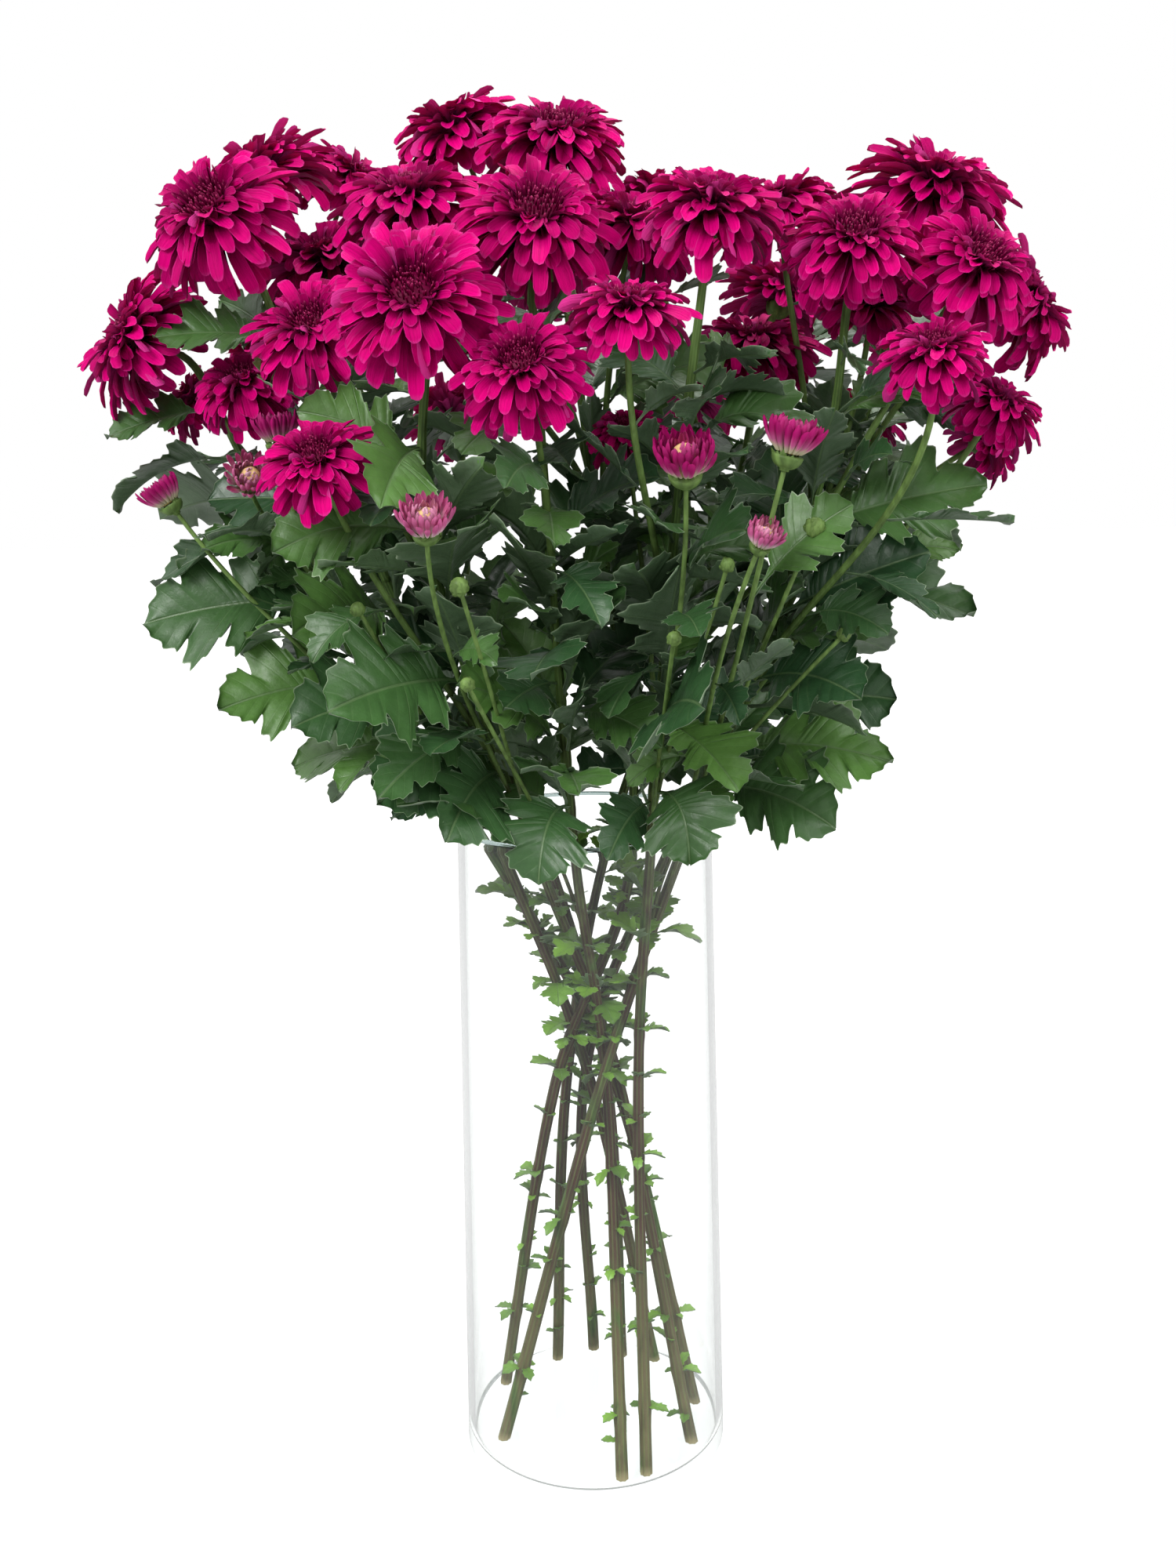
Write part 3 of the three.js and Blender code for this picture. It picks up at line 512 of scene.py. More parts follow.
def sheet_skin(upper, lower, uv, tone, depth):
    """Thin closed sheets from grids (count, rows, columns, 3): an upper and a lower face that share their
    edge."""
    count, rows, columns = upper.shape[:3]
    inner = np.zeros((rows, columns), bool)
    inner[1:-1, 1:-1] = True
    per_sheet = rows * columns + inner.sum()
    top = np.arange(rows * columns).reshape(rows, columns)
    bottom = top.copy()
    bottom[inner] = rows * columns + np.arange(inner.sum())
    start = (np.arange(count) * per_sheet)[:, None, None]
    points = np.concatenate([upper.reshape(count, -1, 3), lower[:, inner]], axis=1)
    top_quads, top_uv = patch(top[None] + start, uv)
    bottom_quads, bottom_uv = patch(bottom[None] + start, uv, flip=True)
    sides = np.repeat([0.0, 1.0], [len(top_quads), len(bottom_quads)])
    fields = []
    for field in (tone, depth):
        grid = np.broadcast_to(field, (count, rows, columns))
        fields.append(np.concatenate([grid.reshape(count, -1), grid[:, inner]], axis=1).ravel())
    edge = np.concatenate([~inner.ravel(), np.zeros(inner.sum(), bool)])
    return Skin(points, np.concatenate([top_quads, bottom_quads]), np.concatenate([top_uv, bottom_uv]),
                tone=fields[0], depth=fields[1], under=sides, rim=np.tile(edge, count))


def tube_skin(rings, run, tone=0.5, depth=0.0, sharp_foot=False):
    """A closed tube over rings of points (rings, sides, 3), with a flat fan at each end. UV is the turn and
    the run."""
    count, sides = rings.shape[:2]
    numbers = np.arange(count * sides).reshape(count, sides)
    numbers = np.concatenate([numbers, numbers[:, :1]], axis=1)
    quads, quad_uv = patch(numbers, paired(np.linspace(0, 1, sides + 1)[None], run[:, None]), flip=True)
    first, last = count * sides, count * sides + 1
    ends = [np.stack([np.full(sides, first), numbers[0, 1:], numbers[0, :-1]], axis=1),
            np.stack([np.full(sides, last), numbers[-1, :-1], numbers[-1, 1:]], axis=1)]
    end_uv = np.zeros((2 * sides, 3, 2))
    end_uv[:sides, :, 1], end_uv[sides:, :, 1] = run[0], run[-1]
    points = np.concatenate([rings.reshape(-1, 3), [rings[0].mean(0)], [rings[-1].mean(0)]])
    fields = [np.append(np.broadcast_to(f, (count, sides)).ravel(), [np.ravel(f)[0], np.ravel(f)[-1]])
              for f in (tone, depth)]
    foot = sharp_foot & (np.arange(len(points)) < sides)
    return Skin(points, quads, quad_uv, np.concatenate(ends), end_uv, tone=fields[0], depth=fields[1],
                rim=foot)


def tube_rings(centres, headings, reach):
    """Rings about a path: centre + side r cos + lift r sin. The side is carried from step to step and kept
    square to the path."""
    side = np.cross(headings[0], [0.3, 1.0, 0.2])
    sides = []
    for heading in headings:
        side = unit(side - heading * (side @ heading))
        sides.append(side)
    sides = np.array(sides)
    lifts = np.cross(headings, sides)
    turn = turns(reach.shape[1])
    circle = sides[:, None] * np.cos(turn)[None, :, None] + lifts[:, None] * np.sin(turn)[None, :, None]
    return centres[:, None] + circle * reach[..., None]


def placed(name, data):
    """An object of this mesh, lamp or camera, in the scene."""
    made = bpy.data.objects.new(name, data)
    bpy.context.scene.collection.objects.link(made)
    return made


def make_piece(name, skin, materials, slot, *nodes):
    """The skin as a mesh object in metres that rides on the frame and stands for these nodes."""
    mesh = bpy.data.meshes.new(name)
    corners = np.concatenate([skin.quads.ravel(), skin.triangles.ravel()])
    totals = np.repeat([4, 3], [len(skin.quads), len(skin.triangles)])
    mesh.vertices.add(len(skin.points))
    mesh.vertices.foreach_set("co", (skin.points * MM).astype(np.float32).ravel())
    mesh.loops.add(len(corners))
    mesh.loops.foreach_set("vertex_index", corners.astype(np.int32))
    mesh.polygons.add(len(totals))
    mesh.polygons.foreach_set("loop_start", np.concatenate([[0], np.cumsum(totals)[:-1]]).astype(np.int32))
    mesh.polygons.foreach_set("use_smooth", np.ones(len(totals), bool))
    mesh.polygons.foreach_set("material_index", skin.look.astype(np.int32))
    mesh.update(calc_edges=True)
    uv = np.concatenate([skin.quad_uv.reshape(-1, 2), skin.triangle_uv.reshape(-1, 2)])
    mesh.uv_layers.new(name="UVMap").data.foreach_set("uv", uv.astype(np.float32).ravel())
    for field, domain in (("tone", "POINT"), ("depth", "POINT"), ("under", "FACE")):
        values = getattr(skin, field).astype(np.float32)
        mesh.attributes.new(field, "FLOAT", domain).data.foreach_set("value", values)
    ends = np.zeros(len(mesh.edges) * 2, np.int32)
    mesh.edges.foreach_get("vertices", ends)
    sharp = skin.rim[ends.reshape(-1, 2)].all(axis=1)
    mesh.attributes.new("sharp_edge", "BOOLEAN", "EDGE").data.foreach_set("value", sharp)
    for material in materials:
        mesh.materials.append(material)
    piece = placed(name, mesh)
    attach(piece, "root")
    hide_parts(*nodes)


# ---------------------------------------------------------------- the frame's stems, shoots and leaves
def seat_of(at, radius, faces, calyx):
    """The underside of a head's green cup."""
    return np.array(at, float) - unit(faces) * (radius * (UNDERSIDE + calyx[1]) + SEAT_GAP)


def cup_middle(at, radius, faces, calyx):
    """A stem or shoot ends halfway up the cup."""
    return seat_of(at, radius, faces, calyx) + unit(faces) * radius * calyx[1] / 2


def heads_of(key):
    """A stem's open blooms and half-open buds: place, radius, the way it faces, the share of the stem where
    its shoot leaves, and its cup."""
    return [(*head[1:], calyx) for heads, calyx in ((BLOOMS, BLOOM_CALYX), (BUDS, BUD_CALYX))
            for head in heads.values() if head[0] == key]


def stem_path(key):
    """From the jar's floor by the waist, the mouth and the shoulder up into the cup of the stem's bloom."""
    foot, waist, mouth, shoulder = STEMS[key]
    at, radius, faces, _, calyx = next(head for head in heads_of(key) if head[3] is None)
    end = cup_middle(at, radius, faces, calyx)
    neck = end - unit(faces) * SHOOT_NECK
    marks = [(*foot, JAR_FLOOR - STEM_FOOT), (*waist, WAIST), (*mouth, MOUTH), shoulder, neck, end]
    return Path(spline(marks))


def shoot_path(stem, leaves, seat, faces, sway):
    """A shoot leaves its stem along it and comes up to its head from behind; sway moves its middle aside."""
    start, along = stem.points(leaves)[0], stem.headings(leaves)[0]
    reach = np.linalg.norm(seat - start)
    straight = (seat - start) / reach
    arrive = straight if faces is None else unit(faces)
    away = 0.6 * along + 0.4 * straight
    low = start + away * reach * SHOOT_BEND + sway
    high = seat - arrive * reach * SHOOT_BEND + sway
    return Path(bezier(start, low, high, seat))


def cloud_of(node):
    """The different vertices of a frame node, in millimetres."""
    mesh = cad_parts[node].data
    co = np.zeros(len(mesh.vertices) * 3, np.float32)
    mesh.vertices.foreach_get("co", co)
    return np.unique((co.reshape(-1, 3) / MM).round(2), axis=0)


def found_shoot(cloud, stem, leaves, seat, faces, root, tip):
    """The path, among those that a shoot may take, whose rings hold the most of the node's vertices."""
    best, chosen = -1, None
    shares = np.array([1, 2, 3]) / 4 if faces is not None else np.array([1, 2]) / 3
    for reach in SWAYS:
        for bearing in SWAY_BEARINGS if reach else (0,):
            path = shoot_path(stem, leaves, seat, faces, way_of(bearing) * reach)
            arms = cloud[None] - path.points(shares)[:, None]
            off = np.abs(np.linalg.norm(arms, axis=2) - (root + (tip - root) * shares)[:, None])
            along = np.abs(np.sum(arms * path.headings(shares)[:, None], axis=2))
            hits = np.sum((off < NEAR_SHOOT) & (along < NEAR_SHOOT))
            if hits > best:
                best, chosen = hits, path
    return chosen, best


def leaf_axes(start, bearing, length, rise, droop, tilt, shares):
    """Along an arched midrib, a quadratic curve that turns down by droop: its centre, heading, side and
    lift."""
    out = way_of(bearing)
    roll = math.radians(tilt) * np.sign(out[0])
    slopes = np.radians([rise, rise - droop])
    knee = start + (out * math.cos(slopes[0]) + UP * math.sin(slopes[0])) * length / 2
    tip = knee + (out * math.cos(slopes[1]) + UP * math.sin(slopes[1])) * length / 2
    t = np.asarray(shares, float)[:, None]
    centre = (1 - t) ** 2 * start + 2 * t * (1 - t) * knee + t**2 * tip
    along = unit((1 - t) * (knee - start) + t * (tip - knee))
    flat = np.broadcast_to(np.cross(UP, out), along.shape)
    side = turned_about(flat, along, np.full(len(along), roll))
    return centre, along, side, unit(np.cross(along, side))


def spray_of(key):
    """A stem's path and its shoots, each as (path, radius at its root, radius at its tip)."""
    path, cloud = stem_path(key), cloud_of("stem_" + key)
    shoots = []
    for at, radius, faces, leaves, calyx in heads_of(key):
        if leaves is None:
            continue
        slim = SLIM if radius < SLIM_BELOW else 1.0
        root, tip = slim * SHOOT_ROOT, slim * SHOOT_TIP
        seat = cup_middle(at, radius, faces, calyx)
        shoot, hits = found_shoot(cloud, path, leaves, seat, faces, root, tip)
        if hits < HEAD_MARKS:
            raise RuntimeError(f"no shoot of stem_{key} leads to the head at {at}")
        shoots.append((shoot, root, tip))
    for at, radius, leaves in GREEN_BUDS.get(key, []):
        shoot, hits = found_shoot(cloud, path, leaves, np.array(at, float), None, BUD_SHOOT, BUD_SHOOT)
        if hits < BUD_MARKS:
            raise RuntimeError(f"no shoot of stem_{key} leads to the bud at {at}")
        shoots.append((shoot, BUD_SHOOT, BUD_SHOOT))
    return path, shoots


LOBED_ROWS = np.array([(0.38, 0.33, 0.1), (0.52, 0.17, 0), (0.62, 0.36, 0.11), (0.77, 0.17, 0), (1, 0, 0)])
SIMPLE_ROWS = np.array([(0.45, 0.2, 0.06), (1, 0, 0)])
LEAF_FOLD = math.sin(math.radians(14))  # how far a leaf folds up along its midrib


def found_leaf(cloud, start, rows, bearing, length, rise, droop, tilt):
    """The place, among those that a leaf may take, whose corners lie on the most of the node's vertices."""
    best, chosen = -1, None
    _, half, sweep = rows.T[:, :, None]
    for size in SIZES:
        for lift in LIFTS:
            for turn in TURNS:
                place = (bearing + turn, length * size, rise + lift, droop, tilt)
                centre, along, side, up = leaf_axes(start, *place, rows[:, 0])
                corners = np.concatenate([
                    centre + (side * hand * half + up * half * LEAF_FOLD + along * sweep) * place[1]
                    for hand in (1, -1)])
                gaps = np.linalg.norm(corners[:, None] - cloud[None], axis=2).min(axis=1)
                hits = np.sum(gaps < NEAR_LEAF)
                if hits > best:
                    best, chosen = hits, place
    return chosen, best


# ---------------------------------------------------------------- materials
class Value:
    """A node's output that can be reckoned with: each operation adds one node and gives back its output."""

    def __init__(self, graph, socket):
        self.graph, self.socket = graph, socket

    def __add__(self, other):
        return self.graph.math("ADD", self, other)

    def __sub__(self, other):
        return self.graph.math("SUBTRACT", self, other)

    def __rsub__(self, other):
        return self.graph.math("SUBTRACT", other, self)

    def __mul__(self, other):
        return self.graph.math("MULTIPLY", self, other)

    def __truediv__(self, other):
        return self.graph.math("DIVIDE", self, other)

    def __pow__(self, other):
        return self.graph.math("POWER", self, other)

    def __abs__(self):
        return self.graph.math("ABSOLUTE", self)

    def most(self, other):
        return self.graph.math("MAXIMUM", self, other)

    def span(self, low, high, to_low=0.0, to_high=1.0):
        """The value's smooth step from low to high, carried to the given ends."""
        ends = dict(enumerate((self, low, high, to_low, to_high)))
        return self.graph.add("ShaderNodeMapRange", ends, interpolation_type="SMOOTHSTEP")


class Graph:
    """Builds a node tree. An input is a number, a colour, a socket or a value."""

    def __init__(self, tree):
        self.tree = tree

    def put(self, socket, value):
        value = value.socket if isinstance(value, Value) else value
        if isinstance(value, bpy.types.NodeSocket):
            self.tree.links.new(value, socket)
        else:
            socket.default_value = value

    def fill(self, node, **inputs):
        for name, value in inputs.items():
            self.put(node.inputs[name.replace("_", " ")], value)

    def node(self, kind, inputs=None, **fields):
        """A new node: first its fields are set, then its inputs, by number or name."""
        made = self.tree.nodes.new(kind)
        for field, value in fields.items():
            setattr(made, field, value)
        for place, value in (inputs or {}).items():
            self.put(made.inputs[place], value)
        return made

    def add(self, kind, inputs=None, output=0, **fields):
        """A new node's output, as a value."""
        return Value(self, self.node(kind, inputs, **fields).outputs[output])

    def math(self, operation, a, b=0.0):
        return self.add("ShaderNodeMath", {0: a, 1: b}, operation=operation)

    def mix(self, factor, a, b, blend="MIX"):
        return self.add("ShaderNodeMix", {0: factor, 6: a, 7: b}, output=2, data_type="RGBA",
                        blend_type=blend, clamp_factor=True)

    def noise(self, vector, scale, detail=2.0, roughness=0.5):
        inputs = {"Vector": vector, "Scale": scale, "Detail": detail, "Roughness": roughness}
        return self.add("ShaderNodeTexNoise", inputs)

    def field(self, name):
        return self.add("ShaderNodeAttribute", output="Fac", attribute_name=name)

    def place(self):
        return self.add("ShaderNodeTexCoord", output="Object")

    def parts(self, vector):
        return [Value(self, socket) for socket in self.node("ShaderNodeSeparateXYZ", {0: vector}).outputs]

    def uv(self):
        """The two UV values of the piece's own map."""
        return self.parts(self.add("ShaderNodeUVMap", uv_map="UVMap"))[:2]

    def vector(self, x, y, z):
        return self.add("ShaderNodeCombineXYZ", {0: x, 1: y, 2: z})

    def stretched_noise(self, scales, detail):
        """A noise in the piece's own space with a scale of its own along each axis."""
        vector = self.add("ShaderNodeVectorMath", {0: self.place(), 1: scales}, operation="MULTIPLY")
        return self.noise(vector, 1.0, detail=detail)

    def group(self, tree, **values):
        return self.add("ShaderNodeGroup", values, node_tree=tree)

    def bump(self, height, strength, distance):
        return self.add("ShaderNodeBump", {"Height": height, "Strength": strength, "Distance": distance})

    def shaded(self, colour, factor):
        """The colour times a factor that varies over the surface."""
        return self.mix(1.0, colour, self.vector(factor, factor, factor), blend="MULTIPLY")


def new_group(name, inputs, output):
    """An empty shader group of float sockets: its graph, its inputs as values and its one output's socket."""
    tree = bpy.data.node_groups.new(name, "ShaderNodeTree")
    for socket, value in inputs.items():
        made = tree.interface.new_socket(name=socket, in_out="INPUT", socket_type="NodeSocketFloat")
        made.default_value = value
    tree.interface.new_socket(name=output, in_out="OUTPUT", socket_type="NodeSocketFloat")
    graph = Graph(tree)
    given = graph.node("NodeGroupInput").outputs
    values = [Value(graph, given[socket]) for socket in inputs]
    return graph, values, graph.node("NodeGroupOutput").inputs[output]


def mottle_group():
    """Mottle: a slow and a fine noise in the piece's own space, as a factor around 1."""
    if "mottle" in bpy.data.node_groups:
        return bpy.data.node_groups["mottle"]
    graph, (amount,), made = new_group("mottle", {"Amount": 0.3}, "Factor")
    slow, fine = graph.noise(graph.place(), 38.0, detail=3.0), graph.noise(graph.place(), 420.0)
    graph.put(made, (slow * 1.4 + fine * 0.6 - 1.0) * amount + 1.0)
    return graph.tree


def grain_group():
    """Grain: fine lines that run along V, closer across U, as a value from 0 to 1."""
    if "grain" in bpy.data.node_groups:
        return bpy.data.node_groups["grain"]
    graph, (lines, seed), made = new_group("grain", {"Lines": 8.0, "Seed": 0.0}, "Value")
    u, v = graph.uv()
    graph.put(made, graph.noise(graph.vector(u * lines, v * 0.8, seed), 1.6, detail=3.0, roughness=0.6))
    return graph.tree


def new_material(name, **plain):
    """A material with its Principled shader, whose even values are set on the shader itself."""
    material = bpy.data.materials.new(name)
    material.use_nodes = True
    graph = Graph(material.node_tree)
    shader = next(n for n in material.node_tree.nodes if n.type == "BSDF_PRINCIPLED")
    graph.fill(shader, **plain)
    return material, graph, shader


def petal_material(settings):
    """Ray petals: darker near their roots and on the inner rings, as painted shade of the crowded heart, and
    bright at the rim, with fine lengthwise lines, a thin paler edge and a paler underside."""
    material, graph, shader = new_material("ray_petals", Specular_IOR_Level=0.035)
    u, v = graph.uv()
    depth, tone = graph.field("depth"), graph.field("tone")
    lines = graph.group(grain_group(), Lines=9.0, Seed=tone)
    # Painted shade: towards the root and on the inner rings the colour goes to the deep, shaded one.
    colour = graph.mix(v.span(0.1, 0.9) * depth.span(0.1, 1.0, 0.3, 1.0), settings.deep, settings.bright)
    edge = abs(u * 2.0 - 1.0).span(0.86, 1.0).most(v.span(0.93, 1.0)) * v.span(0.3, 0.9)
    colour = graph.mix(edge * 0.42, colour, settings.under)
    colour = graph.mix(graph.field("under") * 0.55, colour, settings.under)
    factor = ((lines * 0.7 + tone * 0.3) * 1.3 + 0.36) * graph.group(mottle_group(), Amount=0.22)
    graph.fill(shader, Base_Color=graph.shaded(colour, factor), Roughness=lines * 0.2 + 0.36,
               Normal=graph.bump(lines, 0.7, 0.0009))
    return material


def heart_material(settings):
    """The crowded florets of a bloom's middle: dark maroon, each with a lighter speck at its tip."""
    material, graph, shader = new_material("heart_florets", Roughness=0.5, Specular_IOR_Level=0.12)
    tip = graph.field("depth").span(0.72, 1.0) * graph.field("tone").span(0.25, 1.0)
    colour = graph.mix(tip, settings.heart, settings.speck)
    graph.fill(shader, Base_Color=graph.shaded(colour, graph.group(mottle_group(), Amount=0.5)))
    return material


def bud_material(name, middle, tip, settings):
    """Florets of a half-open bud: pale buff at the root, pink halfway and magenta at the tip."""
    material, graph, shader = new_material(name, Roughness=0.55, Specular_IOR_Level=0.2)
    depth, tone = graph.field("depth"), graph.field("tone")
    lines = graph.group(grain_group(), Lines=6.0, Seed=tone)
    place = graph.uv()[1] + (lines - 0.5) * 0.3
    colour = graph.mix(place.span(0.1, 0.4), settings.base, middle)
    colour = graph.mix(place.span(0.25, 0.7) * depth.span(0.2, 1.0, 0.25, 1.0), colour, tip)
    colour = graph.mix(depth.span(0.3, 0.1), colour, settings.heart)
    graph.fill(shader, Base_Color=graph.shaded(colour, tone * 0.35 + 0.8),
               Normal=graph.bump(lines, 0.4, 0.0005))
    return material


def leaf_material(name, settings, lit_and_young_green, freshness):
    """A leaf: green with lighter veins along the whole UV lines, a pale edge and a grey-green underside.
    Tone picks how far a leaf goes towards light green: on the leaves this is painted light that makes some
    look lit, and on the sprouts it is their young colour. Depth is its distance from the midrib, and
    freshness how near it all is to light green."""
    material, graph, shader = new_material(name, Specular_IOR_Level=0.55)
    line, out = graph.uv()
    grain = graph.noise(graph.place(), 260.0, detail=4.0, roughness=0.6)
    # Painted light on the leaves: tone moves a leaf from the upper green towards the lit green. On the
    # sprouts this is their young colour.
    colour = graph.mix(graph.field("tone") ** 2.0 * 0.85 + freshness, settings.upper, lit_and_young_green)
    colour = graph.mix(graph.field("under") * 0.85, colour, settings.under)
    low_lobe, high_lobe = [abs(line - lobe).span(0.5, 0.4) for lobe in MAIN_LOBES]
    nearest = abs(graph.math("FRACT", line + 0.5) - 0.5)
    side_vein = (nearest / (out * -0.07 + 0.13)).span(1.0, 0.2) * out.span(1.0, 0.8)
    side_vein = side_vein * out.span(0.0, 0.3, 0.35, 1.0) * (low_lobe.most(high_lobe) * 0.5 + 0.2)
    veins = graph.field("depth").span(0.011, 0.004).most(side_vein)
    colour = graph.mix(veins * 0.55, colour, settings.vein)
    colour = graph.mix(out.span(0.965, 1.0) * 0.75, colour, settings.edge)
    height = (1.0 - veins) * 0.5 + grain * 0.5
    graph.fill(shader, Base_Color=graph.shaded(colour, graph.group(mottle_group(), Amount=0.55)),
               Roughness=grain * 0.32 + 0.24, Normal=graph.bump(height, 0.7, 0.0008))
    return material


def stalk_material(settings):
    """Stems: brown and woody low in the jar, paler olive near the cut as painted light from the bright floor
    below, green above and pale green on young shoots (tone 1), with a paler line on every rib. Depth is 1 on
    the cut end."""
    material, graph, shader = new_material("stalk_green", Specular_IOR_Level=0.2)
    tone = graph.field("tone")
    streaks = graph.stretched_noise((260.0, 260.0, 22.0), detail=3.0)
    patches = graph.stretched_noise((90.0, 90.0, 9.0), detail=2.0)
    height = graph.parts(graph.place())[2] + (streaks - 0.5) * 0.22
    colour = graph.mix(tone, settings.green, settings.pale)
    rib = (graph.math("COSINE", graph.uv()[0] * (2 * math.pi * settings.ribs)) + 1.0) * 0.5
    colour = graph.mix(rib * 0.5, colour, settings.pale)
    # Painted light: the lowest stretch turns from the brown wood to the paler olive, as if lit from the floor
    # below.
    low_wood_and_painted_light = graph.mix(height.span(0.16, 0.04), settings.brown, settings.olive_lit_from_below)
    low_wood_and_painted_light = graph.mix(patches.span(0.52, 0.7), low_wood_and_painted_light, settings.green)
    low_wood_and_painted_light = graph.mix(rib ** 3.0 * 0.33, low_wood_and_painted_light, settings.pale)
    colour = graph.mix(height.span(0.46, 0.26) * tone.span(0.9, 0.4), colour, low_wood_and_painted_light)
    colour = graph.mix(graph.field("depth"), colour, settings.cut)
    graph.fill(shader, Base_Color=graph.shaded(colour, streaks * 1.6 + 0.12), Roughness=streaks * 0.3 + 0.35,
               Normal=graph.bump(streaks, 0.35, 0.0006))
    return material


def glass_material(name, tint, bending):
    """Clear glass of this tint. Light on its way to the things inside passes it straight."""
    material, graph, shader = new_material(name, Base_Color=tint, Roughness=0.0, IOR=bending,
                                           Transmission_Weight=1.0)
    clear = graph.node("ShaderNodeBsdfTransparent", {"Color": tint})
    rays = graph.node("ShaderNodeLightPath").outputs
    through = graph.math("MAXIMUM", rays["Is Shadow Ray"], rays["Is Diffuse Ray"])
    through = through.most(graph.math("GREATER_THAN", rays["Glossy Depth"], 2.5))
    both = graph.node("ShaderNodeMixShader", {0: through, 1: shader.outputs[0], 2: clear.outputs[0]})
    output = next(n for n in material.node_tree.nodes if n.type == "OUTPUT_MATERIAL")
    graph.fill(output, Surface=both.outputs[0])
    return material


def seen_directly(graph):
    """1 for what the camera sees, also through and round inside the glass, and 0 for light and
    reflections."""
    rays = graph.node("ShaderNodeLightPath").outputs
    through = graph.math("LESS_THAN", rays["Glossy Depth"], 0.5) * rays["Is Transmission Ray"]
    inside = graph.math("GREATER_THAN", rays["Glossy Depth"], 1.5)
    return through.most(rays["Is Camera Ray"]).most(inside)


def floor_material(settings):
    """A pale floor that is lit from below, as a light table is, where the camera looks at it."""
    material, graph, shader = new_material("pale_floor", Base_Color=settings.floor, Roughness=0.8,
                                           Specular_IOR_Level=0.1, Emission_Color=(1, 1, 1, 1))
    graph.fill(shader, Emission_Strength=seen_directly(graph) * settings.glow)
    return material


def studio_world(settings):
    """A white background to the camera. As a light it is strong overhead and soft at eye level."""
    world = bpy.data.worlds.new("studio")
    world.use_nodes = True
    graph = Graph(world.node_tree)
    upward = graph.parts(graph.add("ShaderNodeTexCoord", output="Generated"))[2]
    light = upward.span(0.0, 0.9, settings.around, settings.overhead)
    background = world.node_tree.nodes["Background"]
    graph.fill(background, Color=(1, 1, 1, 1), Strength=light.most(seen_directly(graph)))
    return world


# ---------------------------------------------------------------- pieces
STEM_ROWS = 150
YOUNG, CUT = (540.0, 680.0), (13.2, 10.6)  # the heights between which a stem turns pale, and into its cut
NODE_SWELL, NODE_REACH = 0.16, 4.5  # how much thicker a stem is where a leaf leaves it, and how far along
WAVER, WAVER_REACH = 0.03, 17.0  # how much a stem's thickness wavers, and over what length
FLARE, FLARE_REACH = 0.45, 7.0  # how much thicker a shoot is at its root, and how far along
BRACT_ROWS = np.array([0, 0.4, 0.75, 1.0])
SMALL_BLOOM, FEWER = 28, 0.84  # blooms of a smaller radius have this share of the petals
OPENING = 4.0  # by how many degrees a bloom usually stands more or less open
GOLDEN_ANGLE = 2.39996  # radians from each floret of a heart to the next
SIDES = np.radians([0, 90, 180, 270])  # the four sides of a floret
# How far the petals of a ring stray from its bearing, length, rise, fall, course, width and hollow.
BEARING_STRAY, LENGTH_STRAY, RISE_STRAY, FALL_STRAY = 0.2, 0.1, 8.0, 16.0
COURSE_STRAY, WIDTH_STRAY, HOLLOW_STRAY = 0.08, 0.12, 0.12
TURNED_OVER = 120.0  # how far a petal twists to show its underside
PETAL_BOW = 0.22  # how deep a petal's middle lies below its edges, as a share of its half width
PETAL_BLUNT = 0.32  # how far a petal's corners stand back from its tip, as a share of its half width


def ribbed(radius, ribs, rib_depth, sides):
    """A ribbed tube's radius at each row and turn: r (1 + d cos(ribs a))."""
    return radius[:, None] * (1 + rib_depth * np.cos(ribs * turns(sides))[None])


def stem_skin(path, ribs, rib_depth, nodes_at, rng):
    """A ribbed stem: its radius goes from foot to tip, swells by e^(-(x/w)^2) where leaves leave it, and
    wavers along it as a slow sine. Its cut foot is level on the jar's floor."""
    first = path.share_at_height(JAR_FLOOR + SEAT_GAP)
    shares = np.linspace(first, 1, STEM_ROWS)
    centres, headings = path.points(shares), path.headings(shares)
    radius = STEM_FOOT + (STEM_TIP - STEM_FOOT) * shares
    run = shares * path.run[-1]
    for node in nodes_at:
        radius = radius * (1 + NODE_SWELL * np.exp(-(((run - node) / NODE_REACH) ** 2)))
    radius = radius * (1 + WAVER * np.sin(run / WAVER_REACH + rng.uniform(0, 6)))
    rings = tube_rings(centres, headings, ribbed(radius, ribs, rib_depth, 4 * ribs))
    level = (JAR_FLOOR + SEAT_GAP - rings[0, :, 2]) / headings[0, 2]
    rings[0] += level[:, None] * headings[0]
    tone = smooth(centres[:, 2], *YOUNG)[:, None] * 0.5
    cut = smooth(centres[:, 2], *CUT)[:, None] * 0.8
    return tube_skin(rings, run * MM, tone=tone, depth=cut, sharp_foot=True)


def shoot_skin(path, root, tip, ribs, rib_depth):
    """A side shoot: a ribbed tube from root to tip, flared at its root by 1 + f e^(-x/w)."""
    length = path.run[-1]
    t = np.linspace(0, 1, max(10, int(length / 6)))
    radius = (root + (tip - root) * t) * (1 + FLARE * np.exp(-t * length / FLARE_REACH))
    rings = tube_rings(path.points(t), path.headings(t), ribbed(radius, ribs, rib_depth, 2 * ribs))
    return tube_skin(rings, t * length * MM, tone=0.35 + 0.45 * t[:, None])


def turned_skin(radii, heights, sides, at, faces, tone=0.5):
    """A profile turned about an axis: (r cos a, r sin a, z), stood at a place and turned to face a way."""
    turn = turns(sides)
    rings = np.stack([radii[:, None] * np.cos(turn), radii[:, None] * np.sin(turn),
                      np.broadcast_to(heights[:, None], (len(radii), sides))], axis=-1)
    return tube_skin(rings @ turned_to(faces).T + at, heights * MM, tone=tone)


def spokes(azimuth):
    """At each bearing, the way out from the axis and the way round it."""
    cos, sin, level = np.cos(azimuth), np.sin(azimuth), np.zeros(len(azimuth))
    return np.stack([cos, sin, level], axis=-1), np.stack([-sin, cos, level], axis=-1)


